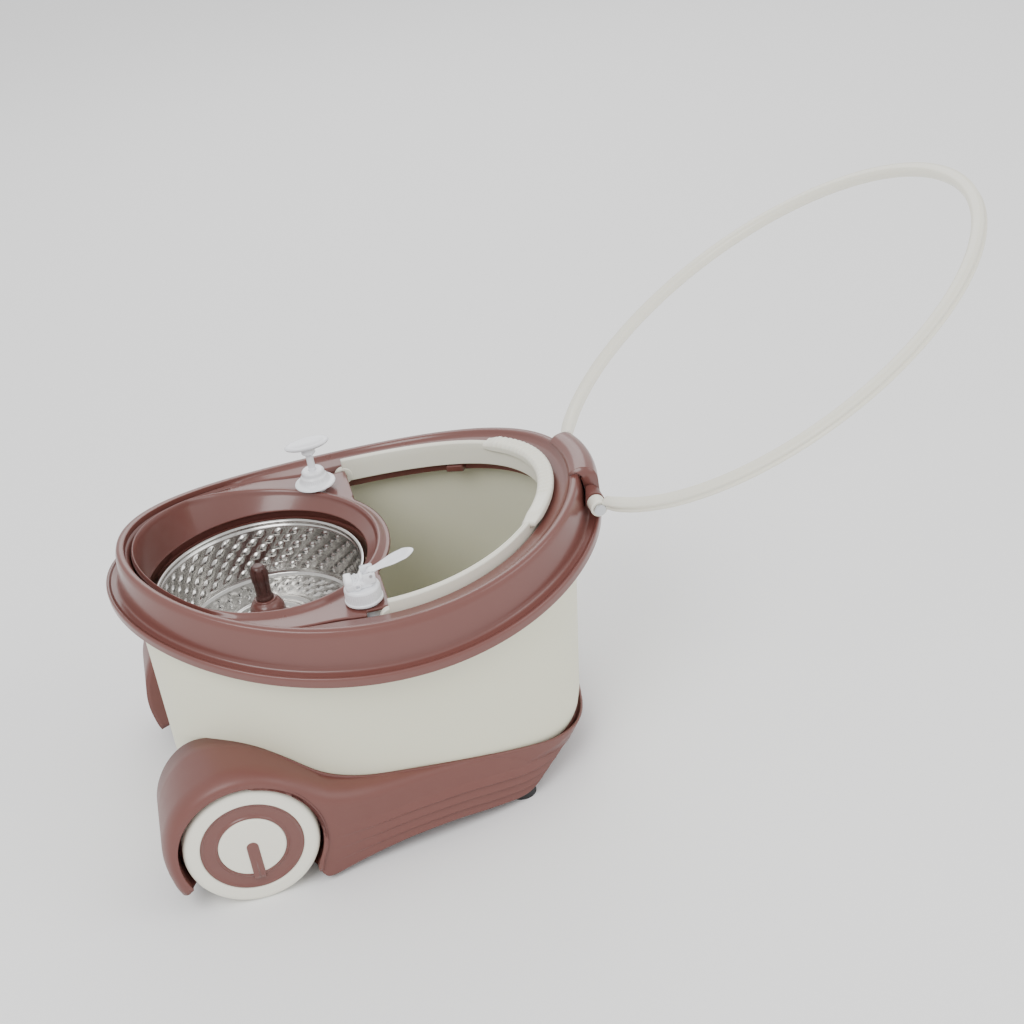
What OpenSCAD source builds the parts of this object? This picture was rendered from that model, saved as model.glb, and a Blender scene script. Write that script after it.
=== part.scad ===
// Spin mop bucket on wheels: a boat-shaped tub with a spinning basket, two soap dispensers,
// a carry handle that lies in the rim and a tall pull hoop hinged at the rear.
// Millimetres, +Z up, +X to the rear, floor at z = 0, origin under the middle of the overall box.

/* [Rim] */
// Length over the rim's top outer edge
rim_l = 426; // [360:1:500]
// Width over the rim's top outer edge
rim_w = 338; // [290:1:400]
// Height of the rim at its lowest point
rim_h = 250; // [220:1:300]
// How far the front end of the rim rises above the lowest point
rim_rise = 40; // [0:1:60]
// How much fuller the plan outline is towards the rear
rim_fullness = 0.05; // [0:0.01:0.12]
// How far the flange stands out past the top edge
flange_out = 18; // [12:1:24]
// Height of the skirt between the top edge and the flange
skirt_h = 39; // [30:1:50]

/* [Tub] */
// Length of the tub at its foot
base_l = 392; // [340:1:450]
// Width of the tub at its foot
base_w = 292; // [250:1:340]
// Height of the underside of the tub's floor
floor_z = 22; // [16:1:30]
// Wall thickness of the mouldings
wall = 2.5; // [2:0.1:3.5]

/* [Basket] */
// Diameter over the basket's rolled rim
basket_d = 200; // [170:1:206]
// Depth of the basket
basket_depth = 55; // [45:1:70]
// Height of the basket's rim
basket_z = 230; // [220:1:236]
// Basket axis ahead of the rim's centre
basket_ahead = 95; // [90:1:100]
// Diameter of the drive pin that the mop head drops onto
pin_d = 17; // [14:0.5:22]
// Height of the drive pin above its hub
pin_h = 36; // [25:1:45]
// Diameter of the spindle
spindle_d = 10; // [8:0.5:12]

/* [Wheels] */
// Diameter of the wheels
wheel_d = 122; // [100:1:130]
// Width of the wheels
wheel_w = 26; // [20:1:30]
// Overall width across the wheels' outer faces
wheel_track = 352; // [340:1:370]
// Wheel axis ahead of the rim's centre
wheel_ahead = 157; // [145:1:165]
// Diameter of the stub axles
axle_d = 8; // [6:0.5:10]

/* [Pull hoop] */
// Length of the hoop's oval
hoop_l = 448; // [360:1:520]
// Width of the hoop's oval over its centre line
hoop_w = 372; // [340:1:420]
// Width of the hoop's bar
hoop_bar = 13; // [10:0.5:15]
// Angle of the raised hoop above the horizontal
hoop_angle = 27.5; // [20:0.5:60]
// Diameter of the hoop's pivot pins
hoop_pin_d = 7; // [5:0.5:8]

/* [Carry handle] */
// Height of the carry handle's band
bail_h = 24; // [18:1:28]
// Thickness of the carry handle's band
bail_t = 6; // [5:0.5:8]
// Diameter of the carry handle's pivot pins
bail_pin_d = 6; // [4:0.5:8]

/* [Dispensers] */
// Height of the soap bottles below the deck
bottle_h = 120; // [80:1:150]
// Diameter of the pump's bottle
pump_bottle_d = 28; // [24:1:32]
// Diameter of the flip cap's bottle
cap_bottle_d = 44; // [36:1:46]
// Travel of the pump
pump_travel = 12; // [6:1:14]

/* [Hidden] */

brown = "#7d554c";
cream = "#dedcc8";
ivory = "#ececdf";
white = "#f7f7f7";
steel = "#c4c7ca";
black = "#2b2b2b";

round_fn = 64;          // facets of large round features
small_fn = 32;          // facets of small round features
around = 60;            // points round each moulded outline
gap = 0.3;              // seat gap between mouldings
skin_gap = 0.8;         // gap between two curved skins
fit = 0.05;             // running clearance on a radius
eps = 0.01;

// Hoop pivots sit just outside the ends of the rear housing
pivot_back = rim_l / 2 + 4.5;
pivot_y = 65;
housing_reach = 2 * 360 / around;
lug_y = (rim_w / 2 + flange_out + 1) * sin(housing_reach) * (1 + rim_fullness) + gap;
lug_end = pivot_y - 7;
pivot_z = rim_h + 2;
hoop_mid = hoop_l / 2 - 8;
hoop_reach = hoop_mid + hoop_l / 2 + hoop_bar / 2;
front_end = max(rim_l / 2 + flange_out, wheel_ahead + wheel_d / 2 + 18);
hoop_tip = pivot_back + hoop_reach * cos(hoop_angle);
rim_x = -(hoop_tip - front_end) / 2;
low_x = rim_x + 25.6;   // where the rim is lowest
rise_span = rim_l / 2 + 25.6;

basket_x = rim_x - basket_ahead;
basket_r = basket_d / 2;
basket_floor = basket_z - basket_depth;
collar_r = basket_r + 3;
lip_r = basket_r + 14;
ridge_w = 12;
lip_inset = 13.5;

wheel_x = rim_x - wheel_ahead;
wheel_r = wheel_d / 2;
wheel_out = wheel_track / 2;
wheel_in = wheel_out - wheel_w;
hood_r = wheel_r + 18;
arch_r = wheel_r + 4.5;
hood_y = wheel_out + 2;

pivot_x = rim_x + pivot_back;
deck_edge_x = rim_x + 10;   // front edge of the water opening beside the dispensers
bail_x = rim_x + 8;         // carry handle pivots
bail_inset = 31;            // carry handle's centre line inside the rim's edge
bail_z = rim_h - 13;

pump_x = rim_x - 22;
pump_y = 107;
cap_x = rim_x - 10;
cap_y = -116;
deck_t = 3;
deck_sink = 6;          // deck's top below the rim's top edge
boss_top = basket_floor - 12;
boss_bottom = basket_floor - 40;
hub_h = 28;
holder_r = collar_r + wall + gap;
screw_z = basket_z - 16;
foot_x = rim_x + 96;
foot_y = 122;
plate_t = 3;

// Height of the rim's top edge at x
function rim_z(x) = rim_h + rim_rise * pow((x - low_x) / rise_span, 2);
// Point of the rim's outline at angle t, moved out by d and set dz under the top edge
function rim_pt(t, d, dz) =
    let (x = rim_x + (rim_l / 2 + d) * cos(t))
    [x, (rim_w / 2 + d) * sin(t) * (1 + rim_fullness * cos(t)), rim_z(x) + dz];
// Share of the sunk deck's width that the rim keeps at angle t: all of it beside the water
// opening, and little of it round the well
function deck_share(t) =
    let (a = abs(t > 180 ? 360 - t : t), u = min(1, max(0, (a - 97) / 25))) 1 - u * u * (3 - 2 * u);
function inward(d, t) = d > -6 ? d : d > -23 ? -6 + (d + 6) * deck_share(t) : d + 17 * (1 - deck_share(t));
function signed_pow(v, e) = sign(v) * pow(abs(v), e);
// Point of the tub's foot outline, a rounded oblong, at angle t and inset by d
function foot_pt(t, d, z) = [rim_x - 14.4 + (base_l / 2 - d) * signed_pow(cos(t), 0.68),
    (base_w / 2 - d) * signed_pow(sin(t), 0.68), z];
function mix(a, b, s) = a + (b - a) * s;
// Ring of the tub's wall: s = 0 at the foot, 1 at the rim; d moves it outwards
function tub_ring(s, d) = [for (i = [0 : around - 1]) let (t = 360 * i / around)
    mix(foot_pt(t, -d, 60), rim_pt(t, d - wall, -5 - gap), s)];
function foot_ring(z, inset) = [for (i = [0 : around - 1]) foot_pt(360 * i / around, inset, z)];
// Section points [offset from the top edge, height from it], carried round the rim from a to b
function rim_loop(section, a, b, steps) = [for (i = [0 : steps]) let (t = mix(a, b, i / steps))
    [for (p = section) rim_pt(t, inward(p[0], t), p[1])]];

// Solid through closed rings of equal length, capped at both ends or closed into a loop
module loft(rings, looped = false) {
    n = len(rings[0]);
    m = len(rings);
    last = looped ? m - 1 : m - 2;
    sides = [for (i = [0 : last], j = [0 : n - 1])
        let (a = i * n + j, b = i * n + (j + 1) % n, k = (i + 1) % m,
            c = k * n + (j + 1) % n, d = k * n + j)
        each [[a, d, c], [a, c, b]]];
    bottom = [for (j = [0 : n - 1]) j];
    top = [for (j = [n - 1 : -1 : 0]) (m - 1) * n + j];
    polyhedron([for (r = rings) each r], looped ? sides : concat(sides, [bottom, top]), convexity = 8);
}

// Prism along Y between y0 and y1 of an outline drawn in X and Z
module side_prism(y0, y1) {
    translate([0, y1, 0]) rotate([90, 0, 0]) linear_extrude(y1 - y0) children();
}

// Cylinder along Y from y0 to y1 at [x, z]
module y_rod(r, x, z, y0, y1, fn = small_fn) {
    translate([x, y1, z]) rotate([90, 0, 0]) cylinder(h = y1 - y0, r = r, $fn = fn);
}

module tub_solid(d) {
    bend = [[floor_z, 34], [floor_z + 3, 23], [floor_z + 11, 10], [floor_z + 23, 3]];
    loft(concat([for (b = bend) foot_ring(b[0] - (b[0] > floor_z ? 0 : max(d, 0)), b[1] - d)],
        [for (s = [0 : 0.2 : 1]) tub_ring(s, d)]));
}

module base_screw_places() {
    for_each_side() for (x = [rim_x - 60, rim_x + 80]) translate([x, 70, 0]) children();
}

module bucket() {
    inner_bend = [[floor_z + 23, 3 + wall], [floor_z + 11 + wall, 10 + wall],
        [floor_z + 3 + wall, 23 + wall], [floor_z + wall, 34 + wall]];
    outer_bend = [[floor_z, 34], [floor_z + 3, 23], [floor_z + 11, 10], [floor_z + 23, 3]];
    color(cream) difference() {
        union() {
            loft(concat([for (b = outer_bend) foot_ring(b[0], b[1])],
                [for (s = [0 : 0.2 : 1]) tub_ring(s, 0)],
                [for (s = [1 : -0.2 : 0]) tub_ring(s, -wall)],
                [for (b = inner_bend) foot_ring(b[0], b[1])]));
            base_screw_places() translate([0, 0, floor_z + 1]) cylinder(h = 14, r = 6, $fn = small_fn);
        }
        base_screw_places() translate([0, 0, floor_z - 1]) cylinder(h = 12.5, r = 2 + fit, $fn = small_fn);
    }
}

// Rim moulding: flange lip, skirt, rounded top, sunk deck and inner skirt
rim_section = [[flange_out, -skirt_h - 9], [flange_out - wall, -skirt_h - 9],
    [flange_out - wall, -skirt_h - wall], [6 - wall, -skirt_h + wall], [-1.8, -5],
    [-7, -5], [-22, -8], [-27 + wall, -11], [-27 + wall, -30], [-27, -30],
    [-27, -10], [-24, -5.5], [-9, -3.5], [-6, -0.5], [-2, 0], [1, -3], [6, -skirt_h + 3],
    [8, -skirt_h + 1], [flange_out - 1, -skirt_h], [flange_out, -skirt_h - 1]];

module rim_cover() {
    color(brown) {
        difference() {
            loft(rim_loop(rim_section, 0, 360 - 360 / around, around - 1), looped = true);
            for (s = [-1, 1])
                y_rod(bail_pin_d / 2 + fit, bail_x, bail_z, s > 0 ? 100 : -150, s > 0 ? 150 : -100);
        }
        for (a = [50, -50])
            loft(rim_loop([[-26, -26], [-35, -26], [-35, -21 - gap], [-26, -21 - gap]], a - 3, a + 3, 2));
    }
}

// Whether a point in plan lies inside the rim's outline moved in by d
function inside_rim(x, y, d) =
    let (c = (x - rim_x) / (rim_l / 2 - d))
    abs(c) < 1 && abs(y) < (rim_w / 2 - d) * sqrt(1 - c * c) * (1 + rim_fullness * c);
// Distance from the basket's axis to that outline at angle t, halved in on n times
function edge_r(t, low = 0, high = lip_r + 10, n = 14) =
    let (r = (low + high) / 2)
    n == 0 ? low : inside_rim(basket_x + r * cos(t), r * sin(t), lip_inset) ?
        edge_r(t, r, high, n - 1) : edge_r(t, low, r, n - 1);
function lip_at(t) = min(lip_r, edge_r(t));
function well_pt(t, r, z) = [basket_x + r * cos(t), r * sin(t), z];
function well_z(t, r) = rim_z(basket_x + r * cos(t));

module deck_plan() {
    difference() {
        intersection() {
            polygon([for (i = [0 : around - 1]) let (t = 360 * i / around,
                p = rim_pt(t, inward(-27, t) - skin_gap, 0)) [p[0], p[1]]]);
            union() {
                translate([rim_x - 300, -200]) square([300 + deck_edge_x - rim_x, 400]);
                translate([basket_x, 0]) circle(lip_r + ridge_w, $fn = round_fn);
            }
        }
        polygon([for (i = [0 : around - 1]) let (t = 360 * i / around)
            [basket_x + (lip_at(t) + 1) * cos(t), (lip_at(t) + 1) * sin(t)]]);
        // room for the ends of the carry handle
        for_each_side() translate([bail_x - 20, rim_w / 2 - bail_inset - bail_t / 2 - 2.2]) square(60);
    }
}

module deck_slab(top, thick) {
    xs = [for (i = [0 : 12]) rim_x - 240 + 270 * i / 12];
    side_prism(-200, 200) polygon(concat([for (x = xs) [x, rim_z(x) + top]],
        [for (i = [12 : -1 : 0]) [xs[i], rim_z(xs[i]) + top - thick]]));
}

module well_deck() {
    color(brown) difference() {
        union() {
            intersection() {
                linear_extrude(400) deck_plan();
                deck_slab(-deck_sink, deck_t);
            }
            loft([for (i = [0 : around - 1]) let (t = 360 * i / around, r = lip_at(t), z = well_z(t, r))
                [well_pt(t, r, z - 2), well_pt(t, r + 3, z - 2), well_pt(t, r + 3, z - 9),
                well_pt(t, collar_r + wall, basket_z - 2), well_pt(t, collar_r + wall, basket_z - 12),
                well_pt(t, collar_r, basket_z - 12), well_pt(t, collar_r, basket_z - 1),
                well_pt(t, r - 1, z - 8)]], looped = true);
        }
        translate([pump_x, pump_y, 0]) cylinder(h = 400, r = 10.5, $fn = small_fn);
        translate([cap_x, cap_y, 0]) cylinder(h = 400, r = 14.5, $fn = small_fn);
        holder_screw_places() cylinder(h = 20, r = 1.6, $fn = small_fn);
    }
}

// Axes of the screws that hold the basket's holder to the well, pointing outwards
module holder_screw_places() {
    for (a = [45 : 90 : 315]) translate([basket_x, 0, screw_z + 6]) rotate([0, 90, a])
        translate([0, 0, collar_r - 4]) children();
}

// Crescent at the rear end that carries the hoop's pivots
module rear_housing() {
    section = [[flange_out + 1, -skirt_h + 1], [8.5, -skirt_h + 2], [2.5, -2.5], [-1, 1], [-8, 0.6],
        [-6, 3], [2, 4.5], [10, 2], [flange_out - 2, -4], [flange_out + 1, -12]];
    color(brown) loft(rim_loop(section, -housing_reach, housing_reach, 4));
}

// Bosses between the housing and the hoop's eyes, cut back along the skirt
module hoop_lugs() {
    color(brown) for_each_side() difference() {
        y_rod(9, pivot_x, pivot_z, lug_y, lug_end);
        linear_extrude(400) polygon([for (i = [0 : around - 1]) let (p = rim_pt(360 * i / around, 7, 0)) [p[0], p[1]]]);
        y_rod(hoop_pin_d / 2 + fit, pivot_x, pivot_z, pivot_y - 14, pivot_y);
    }
}

module side_outline(inset = 0) {
    rear = base_l / 2 - 14.4;
    offset(delta = -inset) difference() {
        union() {
            polygon([[wheel_x, 100], [wheel_x + 68, 100], [rim_x - 60, 90], [rim_x + 10, 78], [rim_x + 90, 71],
                [rim_x + 136, 66], [rim_x + rear + 8, 47], [rim_x + rear + 3, 36], [rim_x + rear - 6, 22],
                [rim_x + rear - 40, 7], [rim_x + 84, 7], [rim_x + 60, 13], [rim_x + 20, 16],
                [rim_x - 30, 14], [rim_x - 70, 8], [wheel_x + 48, 3], [wheel_x, 3]]);
            translate([wheel_x, wheel_r]) circle(hood_r, $fn = round_fn);
        }
        translate([wheel_x - 100, -50]) square([220, 53]);
        translate([wheel_x, 0]) polygon([[-140, -50], [-140, 35], [-62, 35], [-42, 12], [-30, 3], [-30, -50]]);
    }
}

// Plan of one side's wheel housing, tapering to the rear foot
module housing_plan(inset = 0) {
    offset(delta = -inset) polygon([[wheel_x - 90, 90], [wheel_x - 90, hood_y - 8], [wheel_x - 72, hood_y],
        [wheel_x + 72, hood_y], [wheel_x + 115, hood_y - 10], [rim_x + 20, 156], [rim_x + 92, 141],
        [rim_x + 124, 128], [rim_x + 140, 108], [rim_x + 140, 90]]);
}

module for_each_side() {
    for (s = [0, 1]) mirror([0, s, 0]) children();
}

module undercarriage() {
    skin = wall + skin_gap;
    color(brown) difference() {
        intersection() {
            union() {
                loft([foot_ring(0, 26), foot_ring(24, 10 - skin), foot_ring(42, 1 - skin),
                    foot_ring(60, -skin), tub_ring(0.6, skin)]);
                for_each_side() linear_extrude(200) housing_plan();
            }
            side_prism(-200, 200) side_outline();
        }
        tub_solid(skin_gap);
        // hollow of each housing, open below
        for_each_side() difference() {
            intersection() {
                translate([0, 0, -10]) linear_extrude(200) housing_plan(3);
                side_prism(90, 200) union() {
                    side_outline(3);
                    translate([0, -8]) side_outline(3);
                }
            }
            tub_solid(skin_gap + 3);
            y_rod(arch_r + 3, wheel_x, wheel_r, wheel_in - 5.5, 220, round_fn);
            y_rod(11, wheel_x, wheel_r, 90, wheel_in);
            translate([foot_x, foot_y, 0]) cylinder(h = 60, r = 15, $fn = small_fn);
        }
        for_each_side() {
            y_rod(arch_r, wheel_x, wheel_r, wheel_in - 2.5, 220, round_fn);
            y_rod(axle_d / 2 + fit, wheel_x, wheel_r, 127, 160);
            translate([foot_x, foot_y, 0]) cylinder(h = 10, r = 13 + gap, $fn = small_fn);
        }
        // the tray's front edge stays low between the housings
        translate([wheel_x - 100, -86, 36]) cube([120, 172, 200]);
        base_screw_places() cylinder(h = floor_z + 1, r = 2 + fit, $fn = small_fn);
        linear_extrude(floor_z - plate_t - gap)
            polygon([for (i = [0 : around - 1]) let (p = foot_pt(360 * i / around, 30, 0)) [p[0], p[1]]]);
    }
}

module rear_feet() {
    color(black) for_each_side() translate([foot_x, foot_y, 0]) cylinder(h = 10, r = 13, $fn = small_fn);
}

module base_screws() {
    head = floor_z - plate_t - gap;
    color(steel) base_screw_places() {
        translate([0, 0, head - 2.5]) cylinder(h = 2.5, r = 4.5, $fn = small_fn);
        translate([0, 0, head]) cylinder(h = 14, r = 2, $fn = small_fn);
    }
}

// Everything of one wheel is drawn with its inner face at z = 0 and its outer face at wheel_w
module at_wheel(side) {
    translate([wheel_x, side * wheel_in, wheel_r]) rotate([-90 * side, 0, 0]) children();
}

module revolve(points, fn = round_fn) {
    rotate_extrude($fn = fn) polygon(points);
}

recess = 6;             // depth of the wheel's face for its ring and cap
ring_r = wheel_r * 0.757;
cap_r = wheel_r * 0.5;
bush_r = axle_d / 2 + 5;

module wheel(side) {
    color(ivory) at_wheel(side) revolve([[bush_r, 0], [wheel_r - 3, 0], [wheel_r, 3], [wheel_r, wheel_w - 5],
        [wheel_r - 1.5, wheel_w - 1.5], [wheel_r - 5, wheel_w], [ring_r + 1, wheel_w], [ring_r, wheel_w - 1],
        [ring_r, wheel_w - recess], [bush_r + 1, wheel_w - recess], [bush_r + 1, wheel_w - 10],
        [bush_r, wheel_w - 10]]);
}

// Recessed ring with a raised bar that runs from it to the middle of the centre disc
module wheel_ring(side) {
    bar = wheel_r * 0.09;
    color(brown) at_wheel(side) {
        revolve([[cap_r + fit, wheel_w - recess], [ring_r - fit, wheel_w - recess],
            [ring_r - fit, wheel_w - 2], [ring_r - 2, wheel_w - 2.5], [cap_r + 2, wheel_w - 2.5],
            [cap_r + fit, wheel_w - 1.5]]);
        translate([0, 0, wheel_w - 0.4]) linear_extrude(1) {
            circle(bar, $fn = small_fn);
            translate([-bar, side > 0 ? 0 : -cap_r - 6]) square([2 * bar, cap_r + 6]);
        }
        translate([-bar, side > 0 ? cap_r + 0.5 : -cap_r - 6, wheel_w - 3]) cube([2 * bar, 5.5, 3]);
    }
}

module wheel_cap(side) {
    color(ivory) at_wheel(side) {
        revolve([[0, wheel_w - recess + 1], [cap_r - fit, wheel_w - recess + 1], [cap_r - fit, wheel_w - 2],
            [cap_r - 1.5, wheel_w - 1], [0, wheel_w - 0.5]]);
    }
}

module wheel_bush(side) {
    color(black) at_wheel(side) revolve([[axle_d / 2 + fit, -1.5], [bush_r + 2, -1.5], [bush_r + 2, -gap / 2],
        [bush_r, -gap / 2], [bush_r, wheel_w - 10], [axle_d / 2 + fit, wheel_w - 10]], small_fn);
}

module stub_axle(side) {
    color(steel) at_wheel(side) translate([0, 0, 127 - wheel_in])
        cylinder(h = wheel_out - 127 - 7, r = axle_d / 2, $fn = small_fn);
}

module push_nut(side) {
    color(steel) at_wheel(side) revolve([[axle_d / 2, wheel_w - 9.7], [axle_d / 2 + 4.5, wheel_w - 9.7],
        [axle_d / 2 + 4.5, wheel_w - 8.7], [axle_d / 2, wheel_w - 8]], small_fn);
}

// Open cage under the well that carries the spindle's bushes
module basket_holder() {
    arm = [[holder_r, screw_z + 4], [holder_r + 3, screw_z + 4], [holder_r + 3, screw_z - 12],
        [basket_r - 2, boss_top - 12], [10, boss_bottom + 2], [10, boss_top - 2],
        [basket_r - 12, boss_top + 2], [holder_r - 2, screw_z - 14]];
    color(brown) translate([basket_x, 0, 0]) difference() {
        union() {
            revolve([[holder_r, screw_z + 12], [holder_r + 3, screw_z + 12], [holder_r + 3, screw_z - 12],
                [holder_r, screw_z - 12]]);
            revolve([[8, boss_bottom], [13, boss_bottom], [13, boss_top], [8, boss_top]], small_fn);
            for (a = [0 : 90 : 270]) rotate([90, 0, a]) translate([0, 0, -4]) linear_extrude(8) polygon(arm);
        }
        translate([0, 0, boss_bottom - 1]) cylinder(h = boss_top - boss_bottom + 2, r = 8, $fn = small_fn);
        translate([-basket_x, 0, 0]) holder_screw_places() cylinder(h = 20, r = 1.6, $fn = small_fn);
    }
}

module holder_screws() {
    color(steel) holder_screw_places() {
        translate([0, 0, 4.5]) cylinder(h = 2 + wall + 3, r = 1.5, $fn = small_fn);
        translate([0, 0, 4 + wall + gap + 3]) cylinder(h = 1.5, r = 3, $fn = small_fn);
    }
}

module bush(z0, z1) {
    color(black) translate([basket_x, 0, 0])
        revolve([[spindle_d / 2 + fit, z0], [8, z0], [8, z1], [spindle_d / 2 + fit, z1]], small_fn);
}

module basket_bowl() {
    rim_r = basket_r - 2.5;
    top_r = basket_r - 6;
    foot_r = basket_r - 15;
    hole_r = 1.7;
    color(steel) translate([basket_x, 0, 0]) difference() {
        union() {
            revolve([[spindle_d / 2 + fit, basket_floor - 1], [foot_r - 3, basket_floor - 1],
                [foot_r + 1, basket_floor + 3], [top_r + 1, basket_z - 6], [rim_r + 1, basket_z - 2],
                [rim_r - 2, basket_z - 2], [top_r, basket_z - 6], [foot_r, basket_floor + 3.4],
                [foot_r - 3.4, basket_floor], [spindle_d / 2 + fit, basket_floor]]);
            translate([0, 0, basket_z - 2.5]) rotate_extrude($fn = round_fn) translate([rim_r, 0])
                circle(2.5, $fn = 16);
        }
        for (k = [0 : 1], a = [0 : 30 : 330]) rotate([0, 90, a + 15 * k])
            translate([-basket_floor - 16 - 18 * k, 0, 60]) cylinder(h = 60, r = hole_r, $fn = small_fn);
        for (a = [0 : 45 : 315]) rotate(a) translate([foot_r - 18, 0, basket_floor - 5])
            cylinder(h = 10, r = hole_r, $fn = small_fn);
        for (a = [45 : 90 : 315]) rotate(a) translate([20, 0, basket_floor - 5])
            cylinder(h = 10, r = 1.6, $fn = small_fn);
    }
}

module basket_hub() {
    z = basket_floor;
    color(brown) translate([basket_x, 0, 0]) difference() {
        revolve([[0, z], [24, z], [24, z + 2.5], [17, z + 2.5], [17, z + 14], [16.5, z + 19], [13.5, z + 24],
            [pin_d / 2 + 1.5, z + hub_h], [0, z + hub_h]]);
        translate([0, 0, z - 1]) cylinder(h = 23, r = spindle_d / 2, $fn = small_fn);
        for (a = [45 : 90 : 315]) rotate(a) translate([20, 0, z - 5])
            cylinder(h = 10, r = 1.6, $fn = small_fn);
    }
}

// Round pin with a domed top
module drive_pin() {
    z = basket_floor + hub_h;
    r = pin_d / 2;
    color(brown) translate([basket_x, 0, 0]) revolve([[0, z], [r, z], [r, z + pin_h - 8],
        [r - 1.5, z + pin_h - 3], [r - 4, z + pin_h], [0, z + pin_h]]);
}

module spindle() {
    z0 = boss_bottom - 7;
    color(steel) translate([basket_x, 0, 0]) difference() {
        translate([0, 0, z0]) cylinder(h = basket_floor + 21 - z0, r = spindle_d / 2, $fn = small_fn);
        translate([0, 0, boss_bottom - 3.4]) revolve([[spindle_d / 2 - 0.8, 0], [spindle_d, 0],
            [spindle_d, 1.4], [spindle_d / 2 - 0.8, 1.4]], small_fn);
    }
}

module spindle_washer() {
    color(steel) translate([basket_x, 0, boss_bottom - 1.6])
        revolve([[spindle_d / 2, 0], [9.5, 0], [9.5, 1.2], [spindle_d / 2, 1.2]], small_fn);
}

module spindle_circlip() {
    color(steel) translate([basket_x, 0, boss_bottom - 3.2]) difference() {
        revolve([[spindle_d / 2 - 0.7, 0], [spindle_d / 2 + 2, 0], [spindle_d / 2 + 2, 1.2],
            [spindle_d / 2 - 0.7, 1.2]], small_fn);
        translate([0, -1.5, -1]) cube([spindle_d, 3, 4]);
    }
}

module hub_rivets() {
    color(steel) translate([basket_x, 0, 0]) for (a = [45 : 90 : 315]) rotate(a)
        translate([20, 0, basket_floor]) {
            translate([0, 0, -1]) cylinder(h = 3.6, r = 1.5, $fn = small_fn);
            translate([0, 0, 2.6]) cylinder(h = 0.8, r = 2.6, $fn = small_fn);
            translate([0, 0, -1.9]) cylinder(h = 0.9, r = 2.6, $fn = small_fn);
        }
}

// The dispensers are drawn with z = 0 on top of the deck under them
module at_pump() { translate([pump_x, pump_y, rim_z(pump_x) - deck_sink]) children(); }
module at_cap() { translate([cap_x, cap_y, rim_z(cap_x) - deck_sink]) children(); }

module bottle(r, neck_r) {
    t = 1.4;
    z = -deck_t - 6;
    revolve([[0, z - bottle_h], [r - 3, z - bottle_h], [r, z - bottle_h + 3], [r, z - 10], [neck_r + 1, z - 3],
        [neck_r, z], [neck_r, 6], [neck_r - t, 6], [neck_r - t, z - 4], [r - t, z - 12],
        [r - t, z - bottle_h + 4], [r - t - 3, z - bottle_h + t], [0, z - bottle_h + t]]);
}

module pump_bottle() { color(white) at_pump() bottle(pump_bottle_d / 2, 9.8); }
module cap_bottle() { color(white) at_cap() bottle(cap_bottle_d / 2, 13.8); }

barrel_r = 5.4;
stem_r = 3.6;

module pump_collar() {
    color(white) at_pump() revolve([[stem_r + fit * 4, 22], [11, 22], [12, 21], [14.5, 10], [20, 8.5], [20, 6.8],
        [11.8, 6.8], [11.8, 2.6], [9.8 + gap, 2.6], [9.8 + gap, 6 + gap], [6.6, 6 + gap], [6.6, -32], [2.2, -32], [2.2, -30],
        [barrel_r, -30], [barrel_r, 18], [stem_r + fit * 4, 19]], 48);
}

module dip_tube() {
    color(white) at_pump() translate([0, 0, -bottle_h - 2])
        revolve([[1.4, 0], [2.15, 0], [2.15, bottle_h - 29], [1.4, bottle_h - 29]], small_fn);
}

module pump_spring() {
    turns = 6;
    steps = 10;
    wire = 0.5;
    low = -29.4;
    high = -6.4;
    color(steel) at_pump() loft([for (i = [0 : turns * steps])
        let (a = 360 * i / steps, z = mix(low, high, i / (turns * steps)), r = barrel_r - 1.1)
        [for (k = [0 : 5]) let (b = -60 * k) [(r + wire * cos(b)) * cos(a), (r + wire * cos(b)) * sin(a),
            z + wire * sin(b)]]]);
}

module pump_stem() {
    color(white) at_pump() {
        translate([0, 0, -6]) cylinder(h = 4, r = barrel_r - fit, $fn = small_fn);
        translate([0, 0, -2]) cylinder(h = 50, r = stem_r, $fn = small_fn);
    }
}

module pump_head() {
    color(white) at_pump() difference() {
        union() {
            translate([0, 0, 40]) cylinder(h = 8, r = 7, $fn = small_fn);
            translate([0, 0, 46]) linear_extrude(7) hull() {
                translate([-12, 0]) circle(10, $fn = small_fn);
                translate([10, 0]) circle(12, $fn = small_fn);
            }
        }
        translate([0, 0, 30]) cylinder(h = 18 + gap, r = stem_r + fit, $fn = small_fn);
    }
}

module cap_collar() {
    color(white) at_cap() revolve([[13.8 + gap, 2.2], [17, 2.2], [17, 4], [16, 5], [16, 15], [15, 17], [0, 17],
        [0, 6 + gap], [13.8 + gap, 6 + gap]], 48);
}

lever_x = 9;
lever_z = 28;

module cap_body() {
    color(white) at_cap() difference() {
        union() {
            translate([-15, -9, 17]) cube([24, 18, 7]);
            translate([-15, -9, 17]) cube([8, 18, 10]);
            for (y = [-9, 6]) translate([1, y, 20]) cube([12, 3, 11]);
            translate([-2, -6, 17]) cube([5, 12, 10]);
        }
        y_rod(1.5 + fit, lever_x, lever_z, -20, 20);
    }
}

module cap_hinge_pin() {
    color(steel) at_cap() y_rod(1.5, lever_x, lever_z, -9.5, 9.5);
}

module cap_lever() {
    color(white) at_cap() translate([lever_x, 0, lever_z]) rotate([0, -15, 0]) difference() {
        union() {
            y_rod(3.2, 0, 0, -5.6, 5.6);
            translate([0, -4, -1.5]) cube([18, 8, 3]);
            translate([0, 0, -1.5]) linear_extrude(3) hull() {
                translate([16, 0]) circle(7, $fn = small_fn);
                translate([34, 0]) circle(9, $fn = small_fn);
            }
        }
        y_rod(1.5 + fit, 0, 0, -20, 20);
    }
}

module hoop_pins() {
    color(steel) for_each_side() {
        y_rod(hoop_pin_d / 2, pivot_x, pivot_z, pivot_y - 14, pivot_y + 9);
        y_rod(hoop_pin_d / 2 + 2, pivot_x, pivot_z, pivot_y + 9, pivot_y + 11);
    }
}

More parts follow.
